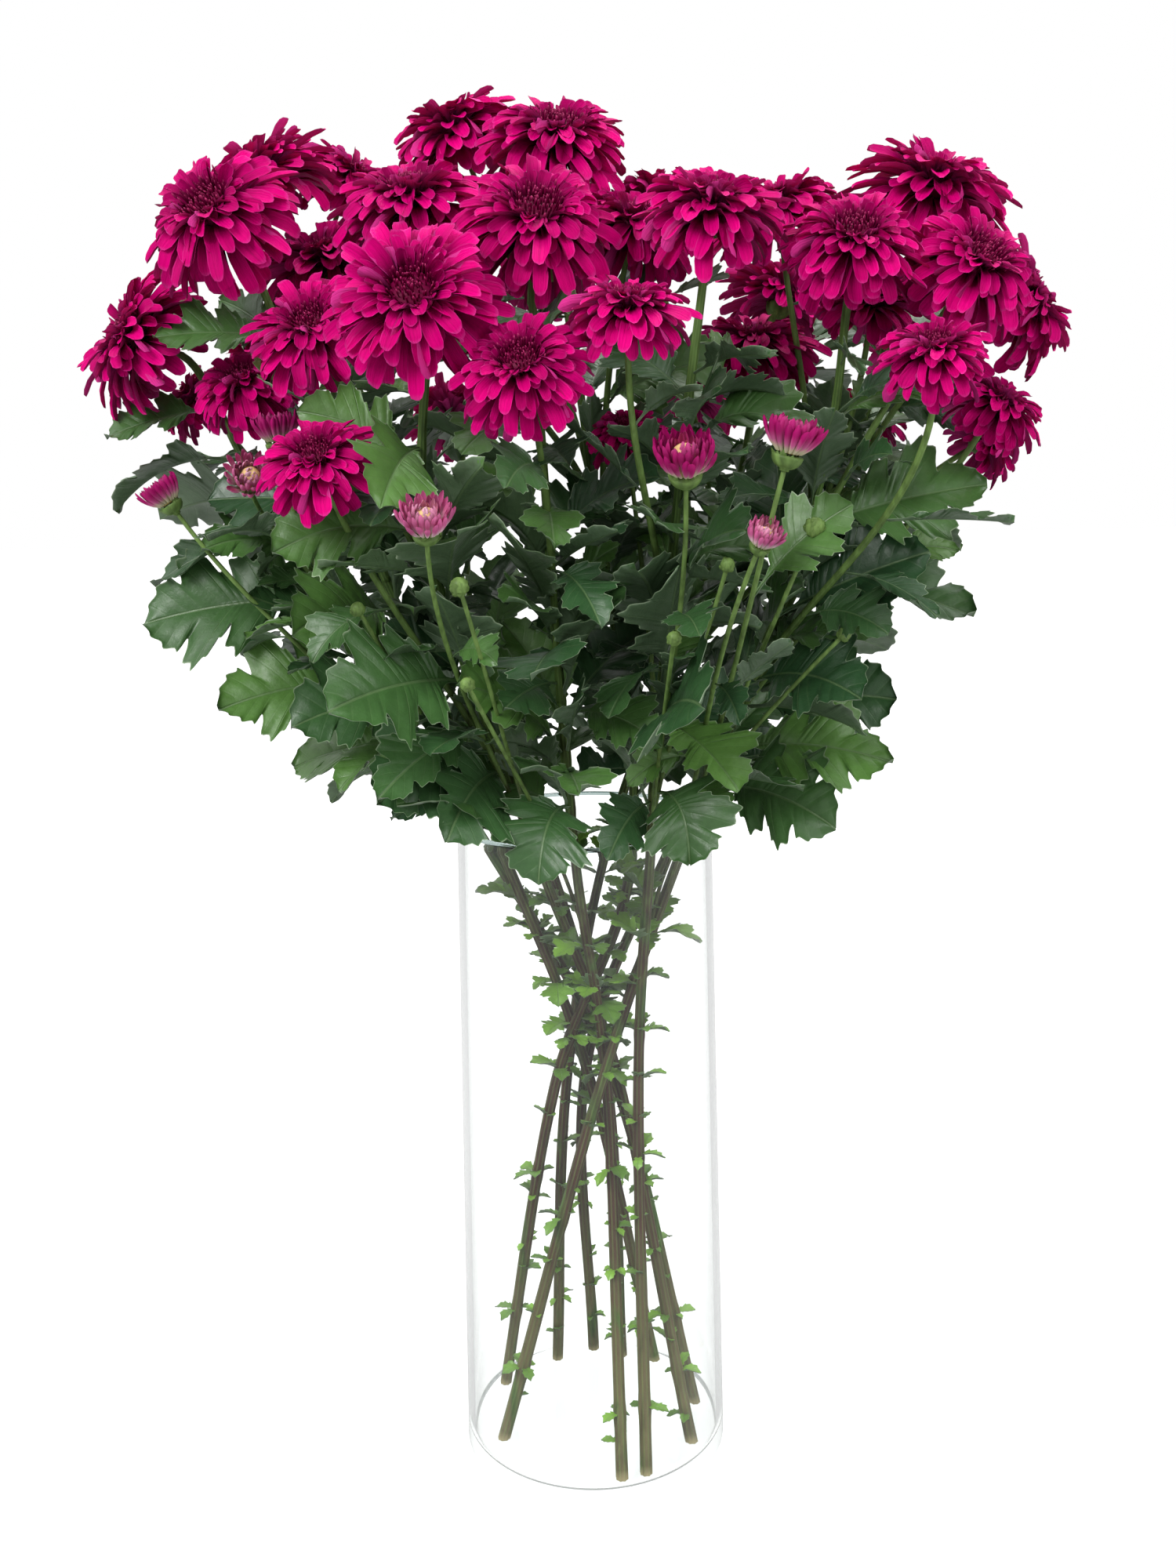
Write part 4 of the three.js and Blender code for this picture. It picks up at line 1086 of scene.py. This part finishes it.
def strap_skin(count, root_radius, root_height, length, rise, fall, half, at, faces, rng, *, scale, thickness,
               rows=PETAL_ROWS, widths=PETAL_WIDTHS, columns=5, cup=(0.5, 0.22), jitter=1.0, tone=(0, 1),
               depth=1.0, twist=18.0, turned=0.0):
    """A ring of petals. Each spine leaves the root at its rise and bends to its fall: angle = rise +
    (fall - rise) s^1.25, and its points are the running sums of (cos, sin) of that angle. Across, the petal
    is hollowed by cup w^2, swerves aside with s^2, and twists about its spine: a few, as often as turned
    says, so far that they show their underside. Round the ring, length and fall also swell twice, as a
    sine."""
    wild = lambda amount: np.clip(rng.normal(0, 1, count), -WILDEST, WILDEST) * amount * jitter
    azimuth = rng.uniform(0, 2 * np.pi) + (np.arange(count) + wild(BEARING_STRAY)) * 2 * np.pi / count
    uneven = np.sin(2 * azimuth + rng.uniform(0, 2 * np.pi)) * jitter
    reach = length * (1 + wild(LENGTH_STRAY) + 0.05 * uneven)
    start, end = np.radians(rise + wild(RISE_STRAY)), np.radians(fall + wild(FALL_STRAY) + 9 * uneven)
    swerve = reach * wild(COURSE_STRAY)
    twists, wide = np.radians(wild(twist)), half * (1 + np.clip(wild(WIDTH_STRAY), -0.3, 0.3))
    twists = twists + np.where(rng.uniform(0, 1, count) < turned, np.radians(TURNED_OVER), 0)
    s = rows[None]
    angle = start[:, None] + (end - start)[:, None] * s**1.25
    middle = (angle[:, 1:] + angle[:, :-1]) / 2
    step = np.diff(rows)[None] * reach[:, None]
    run = lambda part: np.concatenate([np.zeros((count, 1)), np.cumsum(part(middle) * step, axis=1)], axis=1)
    out, high = root_radius + run(np.cos), root_height + run(np.sin)
    radial, around = (way[:, None] for way in spokes(azimuth))
    spine = radial * out[..., None] + UP * high[..., None] + around * (swerve[:, None] * s**2)[..., None]
    cos, sin = np.cos(angle)[..., None], np.sin(angle)[..., None]
    along, normal = radial * cos + UP * sin, UP * cos - radial * sin
    side = turned_about(np.broadcast_to(around, along.shape), along, twists[:, None] * s)[:, :, None]
    normal = turned_about(normal, along, twists[:, None] * s)[:, :, None]
    width = (wide[:, None] * widths[None])[..., None, None]
    across = np.linspace(-1, 1, columns)
    w = across[None, None, :, None]
    hollow = (cup[0] + (cup[1] + wild(HOLLOW_STRAY)[:, None] - cup[0]) * s)[..., None, None]
    blunt = np.interp(rows, [0.8, 1], [0, PETAL_BLUNT])[None, :, None, None] * wide[:, None, None, None]
    grid = (spine[:, :, None] + side * w * width - along[:, :, None] * blunt * w**2
            + normal * (hollow * w**2 - PETAL_BOW * (1 - w**2)) * width)
    swell = normal * thickness / 2
    turn = turned_to(faces).T * scale
    uv = paired((across[None] + 1) / 2, rows[:, None])
    tones = rng.uniform(*tone, count)[:, None, None]
    return sheet_skin((grid + swell) @ turn + at, (grid - swell) @ turn + at, uv, tones, depth)


def calyx_skins(at, radius, faces, calyx, rng):
    """The green cup behind a head: a turned cup, r = w (0.3 + 0.66 sin(90 (z/d)^0.6)), with three rows of
    bracts."""
    wide, deep = radius * calyx[0], radius * calyx[1]
    seat = seat_of(at, radius, faces, calyx)
    z = np.array([-0.18, 0.0, 0.12, 0.3, 0.55, 0.8, 1.0])
    swell = np.sin(np.pi / 2 * np.clip(z, 0, 1) ** 0.6)
    skins = [turned_skin(wide * (0.3 + 0.66 * swell), deep * z, 16, seat, faces)]
    for ring, (count, low, high) in enumerate(((9, 0.34, 0.62), (11, 0.42, 0.82), (13, 0.5, 1.02))):
        skins.append(strap_skin(
            count, low, 0.04 * ring, high * 0.95, 62, 48 + 14 * ring, 0.26, seat, faces, rng, scale=wide,
            thickness=0.07, rows=BRACT_ROWS, widths=np.array([0.6, 1.0, 0.85, 0.25]), columns=3,
            cup=(0.5, 0.4), tone=(0.45, 0.9), depth=0.0, twist=4.0))
    return skins


def bloom_skins(at, radius, faces, spread, settings, rng):
    """An open double bloom: rings of broad petals round a raised middle. Small blooms have fewer petals."""
    fewer = FEWER if radius < SMALL_BLOOM else 1.0
    open_up = rng.normal(0, OPENING)
    return [strap_skin(
        round(count * fewer), root, height, length, rise + open_up, fall + 1.5 * open_up, half / fewer**0.7,
        at, faces, rng, scale=radius * spread, thickness=settings.petal_thickness, columns=4, depth=depth,
        turned=settings.turned) for count, root, height, length, rise, fall, half, depth in PETAL_RINGS]


def heart_skins(at, radius, faces, count, rng):
    """A bloom's middle: a low dome, and florets on it at the golden angle. A floret is a four-sided quill,
    widest near its tip, and leans out further the further it stands from the centre."""
    r = np.array([0.08, 0.2, 0.29, 0.35, 0.37, 0.34, 0.25, 0.14, 0.04])
    z = np.array([-0.17, -0.16, -0.1, 0.0, 0.1, 0.2, 0.29, 0.33, 0.34])
    dome = turned_skin(r * radius, z * radius, 20, at, faces, tone=0.2)
    k = np.arange(count) + 0.5
    out = HEART_REACH * np.sqrt(k / count)
    radial, around = spokes(k * GOLDEN_ANGLE + rng.normal(0, 0.08, count))
    base = radial * (out - 0.02)[:, None] + UP * (0.3 - 1.1 * out**2)[:, None]
    lean = np.radians(-14 + 54 * (out / HEART_REACH) ** 1.4 + rng.normal(0, 8, count))[:, None]
    axis, across = radial * np.sin(lean) + UP * np.cos(lean), radial * np.cos(lean) - UP * np.sin(lean)
    tall = (0.14 + 0.17 * (out / HEART_REACH) ** 1.5) * (1 + rng.normal(0, 0.14, count))
    rows, half = np.array([0.0, 0.62, 0.9, 1.0]), np.array([0.011, 0.016, 0.018, 0.008])
    ring = (around[:, None, None] * np.cos(SIDES)[None, None, :, None]
            + across[:, None, None] * np.sin(SIDES)[None, None, :, None] * 0.7)
    bend = (rows**2)[None, :, None, None] * -0.1 * tall[:, None, None, None] * radial[:, None, None]
    spine = base[:, None] + axis[:, None] * (rows[None] * tall[:, None])[..., None]
    grid = spine[:, :, None] + ring * half[None, :, None, None] + bend
    numbers = np.arange(grid[..., 0].size).reshape(grid.shape[:3])
    wrapped = np.concatenate([numbers, numbers[:, :, :1]], axis=2)
    quads, quad_uv = patch(wrapped, paired(np.linspace(0, 1, len(SIDES) + 1)[None], rows[:, None]))
    caps = np.concatenate([numbers[:, 0], numbers[:, -1, ::-1]])
    florets = Skin((grid * radius) @ turned_to(faces).T + at, np.concatenate([quads, caps]),
                   np.concatenate([quad_uv, np.full((len(caps), 4, 2), 0.5)]),
                   tone=np.repeat(rng.uniform(0, 1, count), numbers[0].size),
                   depth=np.tile(np.repeat(rows, len(SIDES)), count))
    return [dome, florets]


def half_bud_skins(at, radius, faces, rng):
    """A half-open bud: rings of narrow florets still standing, round a closed pale middle."""
    r = np.array([0.1, 0.4, 0.5, 0.46, 0.36, 0.2, 0.05])
    z = np.array([-0.18, -0.12, 0.1, 0.5, 0.78, 0.9, 0.92])
    return [strap_skin(
        *ring[:7], at, faces, rng, scale=radius, thickness=0.03, widths=FLORET_WIDTHS, cup=(0.6, 0.5),
        jitter=0.6, twist=5.0, depth=ring[7]) for ring in BUD_RINGS
    ] + [turned_skin(r * radius, z * radius, 14, at, faces, tone=0.6)]


def green_bud_skins(at, radius, faces, rng):
    """A closed bud: a ball in three rows of overlapping bracts that meet at its top."""
    angle = np.linspace(-np.pi / 2 + 0.2, np.pi / 2 - 0.2, 7)
    ball = turned_skin(radius * 0.9 * np.cos(angle), radius * 0.95 * np.sin(angle), 14, at, faces, tone=1.0)
    rings = ((8, 0.35, -0.92, 1.15, 35, 88), (8, 0.5, -0.7, 1.35, 48, 112), (7, 0.6, -0.45, 1.4, 62, 132))
    return [ball] + [strap_skin(
        *ring, 0.36, at, faces, rng, scale=radius, thickness=0.1, rows=BRACT_ROWS,
        widths=np.array([0.6, 1.0, 0.9, 0.3]), columns=3, cup=(0.3, 0.4), jitter=0.5, tone=(0.5, 1),
        depth=0.0, twist=4.0) for ring in rings]


LEAF_COLUMNS = (0, 0.07, 0.2, 0.42, 0.65, 0.85, 0.965, 1)  # from the midrib to the edge
SMALL_LEAF_COLUMNS = (0, 0.12, 0.5, 0.93, 1)
SPRIG_COLUMNS = (0, 0.4, 0.9, 1)
LOBED_ABOVE = 225.0  # the height from which sprouts have grown lobes
# How far a leaf's blade bows on each hand, as a share of its half width, and how far it bows between the
# veins, waves and turns up at its edge, as shares of its length.
LEAF_BOW, VEIN_BOW, LOBE_WAVE, EDGE_TURN = 0.05, 0.005, 0.036, 0.014
STALK_HALF, RIB_HALF = 0.022, 0.012  # half widths of a leaf's stalk and midrib, as shares of its length


def leaf_skin(start, place, outline, settings, rng, fineness=3, columns=LEAF_COLUMNS, breadth=1.0):
    """A leaf between its outline and its midrib. Row j runs from a point of the midrib out to the outline, on
    both hands: P = centre + side w h L + along w (reach - rib) L + lift. The lift folds the blade up along
    the midrib, bows it between the veins by sin^2 of the line's number, waves its lobes and turns its edge
    up. The stalk is half round, and the midrib stands out below."""
    length = place[1]
    keys = np.array(outline)
    lines = np.arange(len(keys))
    fine = np.linspace(0, lines[-1], lines[-1] * fineness + 1)
    curve = spline(keys[:, 1:3] * (1, breadth))(fine / lines[-1])
    number, rib = np.interp(fine, lines, keys[:, 3]), np.interp(fine, lines, keys[:, 0])
    reach, half = curve[:, 0], np.maximum(curve[:, 1], 0.004)
    bend = rng.normal(0, 0.12)
    centre, along, side, up = leaf_axes(start, *place, rib)
    roll = rng.normal(0, 0.16) * rib
    side, up = turned_about(side, along, roll), turned_about(up, along, roll)
    w = np.concatenate([-np.array(columns[:0:-1]), columns])
    hands = lambda left, right: np.where(w < 0, left, right)
    out = np.abs(w)[None]
    wide = half[:, None] * hands(1 - bend * 0.5, 1 + bend * 0.5)[None] * length
    lateral, forward = w[None] * wide, out * (reach - rib)[:, None] * length
    blade = smooth(rib, 0.17, 0.26)[:, None]
    ripple = hands(*(np.sin(number[:, None] * 0.9 + phase) for phase in rng.uniform(0, 6, 2)))
    veins = np.sin(np.pi * number[:, None]) ** 2 * np.sin(np.pi * np.clip(out, 0, 1)) ** 0.8
    sag = hands(*rng.uniform(0.0, 0.22, 2))[None] * out**2 * wide
    lift = (np.abs(lateral) * LEAF_FOLD + np.sin(np.pi * out) * wide * LEAF_BOW - sag
            + blade * length * (VEIN_BOW * veins + LOBE_WAVE * ripple * out**2)
            + blade * EDGE_TURN * length * np.clip((out - 0.8) / 0.2, 0, 1) ** 2)
    upper = (centre[:, None] + side[:, None] * lateral[..., None] + along[:, None] * forward[..., None]
             + up[:, None] * lift[..., None])
    stalk = STALK_HALF * length * np.sqrt(np.clip(1 - out**2, 0, 1))
    keel = settings.rib / MM * (1 - 0.85 * rib)[:, None] * np.exp(-((lateral / (RIB_HALF * length)) ** 2))
    under = stalk * (1 - blade) + (settings.thickness / MM + keel) * blade
    lower = upper - up[:, None] * under[..., None]
    uv = paired(number[:, None], out)
    return sheet_skin(upper[None], lower[None], uv, rng.uniform(0, 1), np.abs(lateral)[None] / length)


def seed_of(*words):
    """A random generator of its own for each piece, from the letters of its name."""
    return np.random.default_rng([ord(letter) for word in words for letter in word])


MIDRIB = np.linspace(0.3, 1, 6)  # the places on a leaf where its room is felt for
OUTER = np.array(FRAME_BOX) / MM + np.array([[8, 8, 0], [-8, -8, -8]])  # the box that added leaves stay in
HEAD_ROOM = 5.0  # how far an added leaf keeps from a head's rim
FACE_ROOM, FACE_ASIDE = 90.0, 4.0  # how far it keeps from before a head's face, and from beside that
ENOUGH_ROOM, ENOUGH_APART = 12.0, 14.0  # more room than this to heads and leaves counts no further
DRAWN = 12  # how many places are drawn for each added leaf
# The share of the stem or shoot up to which they stand, and their least and most length and rise.
COMPANION = (0.93, (56, 92), (-5, 60))
INNER = (0.8, (60, 96), (48, 82))
SHOOT_LEAF = (0.82, (42, 72), (-5, 60))
SHOOT_BARE = 0.15  # the share of a shoot that is bare at its root


def room_of(midrib, standing):
    """How well a leaf's midrib stands: its room to the heads and 0.7 of that to other leaves, less 2 times
    how far it reaches down to the jar, 3 times how far out of the bunch, and 6 for each of its points that is
    before a head's face."""
    heads = list(BLOOMS.values()) + list(BUDS.values())
    middles, radii = np.array([h[1] for h in heads], float), np.array([h[2] for h in heads], float)
    faces = unit([h[3] for h in heads])
    arms = midrib[:, None] - middles[None]
    gaps = np.linalg.norm(arms, axis=2) - radii - HEAD_ROOM
    front = np.sum(arms * faces, axis=2)
    aside = np.linalg.norm(arms - faces * front[..., None], axis=2) - radii
    hiding = np.sum((front > 0) & (front < FACE_ROOM) & (aside < FACE_ASIDE))
    crowd = np.linalg.norm(midrib[:, None] - standing[None], axis=2).min() * 0.7
    low = min(0.0, midrib[:, 2].min() - JAR_HEIGHT - 6)
    out = np.minimum(0, np.concatenate([midrib - OUTER[0], OUTER[1] - midrib])).min()
    return min(gaps.min(), ENOUGH_ROOM) + min(crowd, ENOUGH_APART) + 2 * low + 3 * out - 6 * hiding


def companion_places(path, first, count, last, lengths, rises, standing, rng):
    """Where small leaves stand along a path: each in the roomiest of the places drawn about the way out of
    the bunch."""
    places = []
    for k in range(count):
        share = first + (last - first) * (k + rng.uniform(0.1, 0.9)) / count
        start = path.points(share)[0]
        outward = math.degrees(math.atan2(start[1], start[0]))
        drawn = [(outward + rng.normal(0, 80), rng.uniform(*lengths), rng.uniform(*rises),
                  rng.uniform(10, 70), rng.uniform(-30, 60)) for _ in range(DRAWN)]
        midribs = [leaf_axes(start, *place, MIDRIB)[0] for place in drawn]
        best = int(np.argmax([room_of(midrib, standing) for midrib in midribs]))
        standing = np.concatenate([standing, midribs[best]])
        places.append((start, drawn[best]))
    return places, standing


SPRIGS = ((65, 0.85), (-70, 0.75), (170, 0.6))  # the bearing and the size of a tuft's other sprigs
CORE, INNER_SIDE = 40.0, 20.0  # how near the jar's axis a tuft has all its sprigs, and others those inwards


def sprout_tuft(start, place, settings, rng):
    """A tuft of up to four sprigs round the place where the first one stands, lobed high on the stem."""
    bearing, length, rise, droop, tilt = place
    outline, fineness = (LEAF_OUTLINE, 1) if start[2] > LOBED_ABOVE else (SPRIG_OUTLINE, 2)
    sprigs = [leaf_skin(start, place, outline, settings, rng, fineness, SPRIG_COLUMNS)]
    for turn, size in SPRIGS:
        aside = bearing + turn + rng.normal(0, 14)
        sprig = (aside, length * size * rng.uniform(0.8, 1.15), rise + rng.uniform(-30, 35), droop, tilt)
        if start @ way_of(aside) < INNER_SIDE or np.hypot(*start[:2]) < CORE:
            sprigs.append(leaf_skin(start, sprig, outline, settings, rng, fineness, SPRIG_COLUMNS))
    return sprigs


TUFT_STEP = 26  # how far apart the tufts stand on a bare stem
WALL_NEAR = 42.0  # how far from the jar's axis a stem stands near its wall
GROWN, GROWN_REACH = 285.0, 70.0  # the height where the sprouts are largest, and how far from it


def more_tufts(key, path, rng):
    """More tufts up a bare stem, pointing inwards where the wall is near."""
    taken = [sprout[0] for sprout in SPROUTS[key]]
    heights = np.arange(30, 352, TUFT_STEP)
    tufts = []
    for height in heights + rng.uniform(-8, 8, len(heights)):
        if min(abs(height - other) for other in taken) < TUFT_STEP / 2:
            continue
        start = path.points(path.share_at_height(height))[0]
        inwards = math.degrees(math.atan2(-start[1], -start[0]))
        near = np.hypot(*start[:2]) >= WALL_NEAR
        bearing = inwards + rng.normal(0, 50) if near else rng.uniform(-180, 180)
        length = (12 + 17 * math.exp(-(((height - GROWN) / GROWN_REACH) ** 2))) * rng.uniform(0.75, 1.3)
        tufts.append((start, (bearing, length, rng.uniform(5, 60), rng.uniform(30, 80), 0)))
    return tufts


# ---------------------------------------------------------------- operators
JAR_SIDES = 128
BENDING, NO_BENDING = 1.4, 1.0  # how strongly the glass bends light
# The lamps: where each stands, its size and its power.
LAMPS = {
    "key_light": ((-1.3, -1.7, 1.9), 1.1, 42.0),
    "fill_light": ((1.7, -1.2, 1.2), 1.2, 16.0),
    "top_light": ((0.2, 0.5, 2.3), 1.0, 18.0),
}
LIT = (0, 0, 0.5)  # the place that the lamps are turned to
FLOOR_REACH = 12  # metres from the middle of the studio's floor to its edge
LENS, LENS_SHIFT = 34.2, -0.1975  # the camera's lens in millimetres, and its view's shift down
CAMERA_ASIDE, CAMERA_ROLL = 0.006, -1.1  # metres to the right, and degrees


class BOUQUET_OT_jar(Operator):
    """Turn the glass jar with its thick floor and rounded rim"""

    bl_idname = "bouquet.jar"
    bl_label = "Glass jar"

    def execute(self, context):
        s = context.scene.bouquet_jar
        wall, floor, foot = s.wall / MM, s.floor / MM, s.foot / MM
        inside, lip = JAR_RADIUS - wall, JAR_HEIGHT - wall / 2
        bow, bead = np.radians(np.linspace(0, 90, 7)), np.radians(np.linspace(0, 180, 11))
        middle = np.array([0.4, 20.0, 45.0, 66.0])
        parts = {
            "underside": (middle, np.array([0.9, 0.8, 0.5, 0.0])),
            "outer foot": (JAR_RADIUS - foot + foot * np.sin(bow), foot - foot * np.cos(bow)),
            "outer wall": (np.full(14, JAR_RADIUS), np.linspace(foot + 4, lip - 4, 14)),
            "rim": (JAR_RADIUS - wall / 2 + wall / 2 * np.cos(bead), lip + wall / 2 * np.sin(bead)),
            "inner wall": (np.full(14, inside), np.linspace(lip - 4, floor + foot + 4, 14)),
            "inner foot": (inside - foot + foot * np.cos(bow), floor + foot - foot * np.sin(bow)),
            "bed": (middle[::-1], np.full(len(middle), floor)),
        }
        radii, heights = (np.concatenate([part[k] for part in parts.values()]) for k in range(2))
        first = dict(zip(parts, np.cumsum([0] + [len(part[0]) for part in parts.values()])))
        skin = turned_skin(radii, heights, JAR_SIDES, np.zeros(3), UP)
        # The underside lies on the table with no air between, so it doesn't mirror the stems. The rim is seen
        # along the glass, where its tint gathers, and its dark grey-green tint also paints the shade of the
        # dark lines in its thick glass.
        skin.look[:first["outer foot"] * JAR_SIDES] = 1
        skin.look[len(skin.quads):len(skin.quads) + JAR_SIDES] = 1
        skin.look[first["rim"] * JAR_SIDES:(first["inner wall"] - 1) * JAR_SIDES] = 2
        looks = [glass_material("clear_glass", s.glass, BENDING),
                 glass_material("glass_underside", s.glass, NO_BENDING),
                 glass_material("glass_rim", s.rim, BENDING)]
        make_piece("glass_jar", skin, looks, "glass", "jar")
        return {"FINISHED"}


class BOUQUET_OT_stalks(Operator):
    """Grow the ribbed stems with their side shoots, the cups behind the heads and the closed green buds"""

    bl_idname = "bouquet.stalks"
    bl_label = "Stems, shoots and calyxes"

    def execute(self, context):
        s = context.scene.bouquet_stalks
        material = stalk_material(s)
        for key in STEMS:
            rng = seed_of("stalk", key)
            path, shoots = spray_of(key)
            leaf_heights = [leaf[0] for leaf in LEAVES[key]] + [sprout[0] for sprout in SPROUTS[key]]
            nodes_at = [path.share_at_height(height) * path.run[-1] for height in leaf_heights]
            skins = [stem_skin(path, s.ribs, s.rib_depth, nodes_at, rng)]
            skins += [shoot_skin(*shoot, s.ribs, s.rib_depth) for shoot in shoots]
            for at, radius, faces, _, calyx in heads_of(key):
                skins += calyx_skins(at, radius, faces, calyx, rng)
            green_buds = GREEN_BUDS.get(key, [])
            for (at, radius, _), (shoot, _, _) in zip(green_buds, shoots[len(shoots) - len(green_buds):]):
                skins += green_bud_skins(at, radius, shoot.headings(1.0)[0], rng)
            make_piece("stalk_" + key, joined(skins), [material], "greenery", "stem_" + key)
        return {"FINISHED"}


class BOUQUET_OT_leaves(Operator):
    """Spread the lobed leaves and their small companions, and set the sprouts on the bare stems"""

    bl_idname = "bouquet.leaves"
    bl_label = "Leaves and sprouts"

    def execute(self, context):
        s = context.scene.bouquet_leaves
        # The lit green on the leaves is painted light.
        leaf_green = leaf_material("leaf_green", s, s.lit, 0.0)
        sprout_green = leaf_material("sprout_green", s, s.young, 0.5)
        sprays = {key: spray_of(key) for key in STEMS}
        found, standing = {}, []
        for key, (path, _) in sprays.items():
            cloud = cloud_of("stem_" + key)
            for table, rows, least in ((LEAVES, LOBED_ROWS, LEAF_MARKS),
                                       (SPROUTS, SIMPLE_ROWS, SPROUT_MARKS)):
                for entry in table[key]:
                    height, bearing, length, *pose = entry
                    start = path.points(path.share_at_height(height))[0]
                    place, hits = found_leaf(cloud, start, rows, bearing, length, *(pose or SPROUT_POSE))
                    if hits < least:
                        raise RuntimeError(f"no leaf of stem_{key} stands at height {height}")
                    found.setdefault((key, table is LEAVES), []).append((start, place))
                    if table is LEAVES:
                        standing.append(leaf_axes(start, *place, MIDRIB)[0])
        standing = np.concatenate(standing)
        for key, (path, shoots) in sprays.items():
            rng = seed_of("leaf", key)
            skins = [leaf_skin(start, place, LEAF_OUTLINE, s, rng) for start, place in found[key, True]]
            mouth = path.share_at_height(JAR_HEIGHT + 8)
            rows = [(path, mouth, s.companions, *COMPANION),
                    (path, path.share_at_height(JAR_HEIGHT), s.inner, *INNER)]
            rows += [(shoot, SHOOT_BARE, s.shoot_leaves, *SHOOT_LEAF)
                     for shoot, root, _ in shoots if root > BUD_SHOOT]
            for row in rows:
                places, standing = companion_places(*row, standing, rng)
                skins += [leaf_skin(start, place, LEAF_OUTLINE, s, rng, 2, SMALL_LEAF_COLUMNS,
                                    breadth=rng.uniform(0.5, 1.0)) for start, place in places]
            make_piece("foliage_" + key, joined(skins), [leaf_green], "greenery", "stem_" + key)
            tufts = found[key, False] + more_tufts(key, path, rng)
            sprigs = [sprig for start, place in tufts for sprig in sprout_tuft(start, place, s, rng)]
            make_piece("sprouts_" + key, joined(sprigs), [sprout_green], "greenery", "stem_" + key)
        return {"FINISHED"}


class BOUQUET_OT_blooms(Operator):
    """Open the blooms: rings of ray petals round a heart of small florets"""

    bl_idname = "bouquet.blooms"
    bl_label = "Open blooms"

    def execute(self, context):
        s = context.scene.bouquet_blooms
        rays, heart = petal_material(s), heart_material(s)
        for name, (_, at, radius, faces, _) in BLOOMS.items():
            rng = seed_of("bloom", name)
            petals = joined(bloom_skins(at, radius, faces, s.spread * WIDER.get(name, 1.0), s, rng))
            make_piece("petals_" + name, petals, [rays], "petals", "bloom_" + name)
            florets = joined(heart_skins(at, radius, faces, s.florets, rng))
            make_piece("heart_" + name, florets, [heart], "petals", "bloom_" + name)
        return {"FINISHED"}


class BOUQUET_OT_buds(Operator):
    """Stand the florets of the half-open buds"""

    bl_idname = "bouquet.buds"
    bl_label = "Half-open buds"

    def execute(self, context):
        s = context.scene.bouquet_buds
        ripe = bud_material("bud_florets", s.middle, s.tip, s)
        pale = bud_material("pale_bud_florets", s.pale_middle, s.pale_tip, s)
        for name, (_, at, radius, faces, _) in BUDS.items():
            skins = half_bud_skins(at, radius, faces, seed_of("bud", name))
            material = pale if name in PALE_BUDS else ripe
            make_piece("half_bud_" + name, joined(skins), [material], "bud_petals", "bud_" + name)
        return {"FINISHED"}


class BOUQUET_OT_stage(Operator):
    """Set the pale floor, the soft lights and the camera"""

    bl_idname = "bouquet.stage"
    bl_label = "Floor, lights and camera"

    def execute(self, context):
        s = context.scene.bouquet_stage
        scene = context.scene
        scene.view_settings.view_transform = "Standard"
        mesh = bpy.data.meshes.new("studio_floor")
        corners = [(x * FLOOR_REACH, y * FLOOR_REACH, 0) for x, y in ((-1, -1), (1, -1), (1, 1), (-1, 1))]
        mesh.from_pydata(corners, [], [(0, 1, 2, 3)])
        mesh.materials.append(floor_material(s))
        placed("studio_floor", mesh)
        scene.world = studio_world(s)
        for name, (place, size, power) in LAMPS.items():
            light = bpy.data.lights.new(name, "AREA")
            light.size, light.energy = size, power
            lamp = placed(name, light)
            lamp.location = place
            aim = np.array(LIT) - place
            lamp.rotation_euler = (math.atan2(math.hypot(aim[0], aim[1]), -aim[2]), 0,
                                   math.atan2(aim[1], aim[0]) - math.pi / 2)
            lamp.visible_camera = False

        camera = bpy.data.cameras.new("camera")
        camera.sensor_width, camera.lens, camera.shift_y = 36.0, LENS, LENS_SHIFT
        holder = placed("camera", camera)
        level = Matrix.Rotation(math.pi / 2, 4, "X") @ Matrix.Rotation(math.radians(CAMERA_ROLL), 4, "Z")
        holder.matrix_world = Matrix.Translation((CAMERA_ASIDE, -s.camera_away, s.camera_height)) @ level
        scene.camera = holder
        return {"FINISHED"}


class BOUQUET_PT_panel(Panel):
    """Lists the pieces and their sizes and colours"""

    bl_label = "Chrysanthemums in a jar"
    bl_space_type = "VIEW_3D"
    bl_region_type = "UI"
    bl_category = "Bouquet"

    def draw(self, context):
        for operator, field, _ in STEPS:
            box = self.layout.box()
            box.operator(operator.bl_idname)
            settings = getattr(context.scene, field)
            for name in settings.bl_rna.properties.keys():
                if name not in {"rna_type", "name"}:
                    box.prop(settings, name)


STEPS = (
    (BOUQUET_OT_jar, "bouquet_jar", JarSettings),
    (BOUQUET_OT_stalks, "bouquet_stalks", StalkSettings),
    (BOUQUET_OT_leaves, "bouquet_leaves", LeafSettings),
    (BOUQUET_OT_blooms, "bouquet_blooms", BloomSettings),
    (BOUQUET_OT_buds, "bouquet_buds", BudSettings),
    (BOUQUET_OT_stage, "bouquet_stage", StageSettings),
)


def register():
    for operator, field, settings in STEPS:
        bpy.utils.register_class(settings)
        setattr(bpy.types.Scene, field, PointerProperty(type=settings))
        bpy.utils.register_class(operator)
    bpy.utils.register_class(BOUQUET_PT_panel)


def unregister():
    bpy.utils.unregister_class(BOUQUET_PT_panel)
    for operator, field, settings in reversed(STEPS):
        bpy.utils.unregister_class(operator)
        delattr(bpy.types.Scene, field)
        bpy.utils.unregister_class(settings)


def main():
    register()
    bpy.ops.bouquet.jar()
    bpy.ops.bouquet.stalks()
    bpy.ops.bouquet.leaves()
    bpy.ops.bouquet.blooms()
    bpy.ops.bouquet.buds()
    bpy.ops.bouquet.stage()


if __name__ == "__main__":
    main()
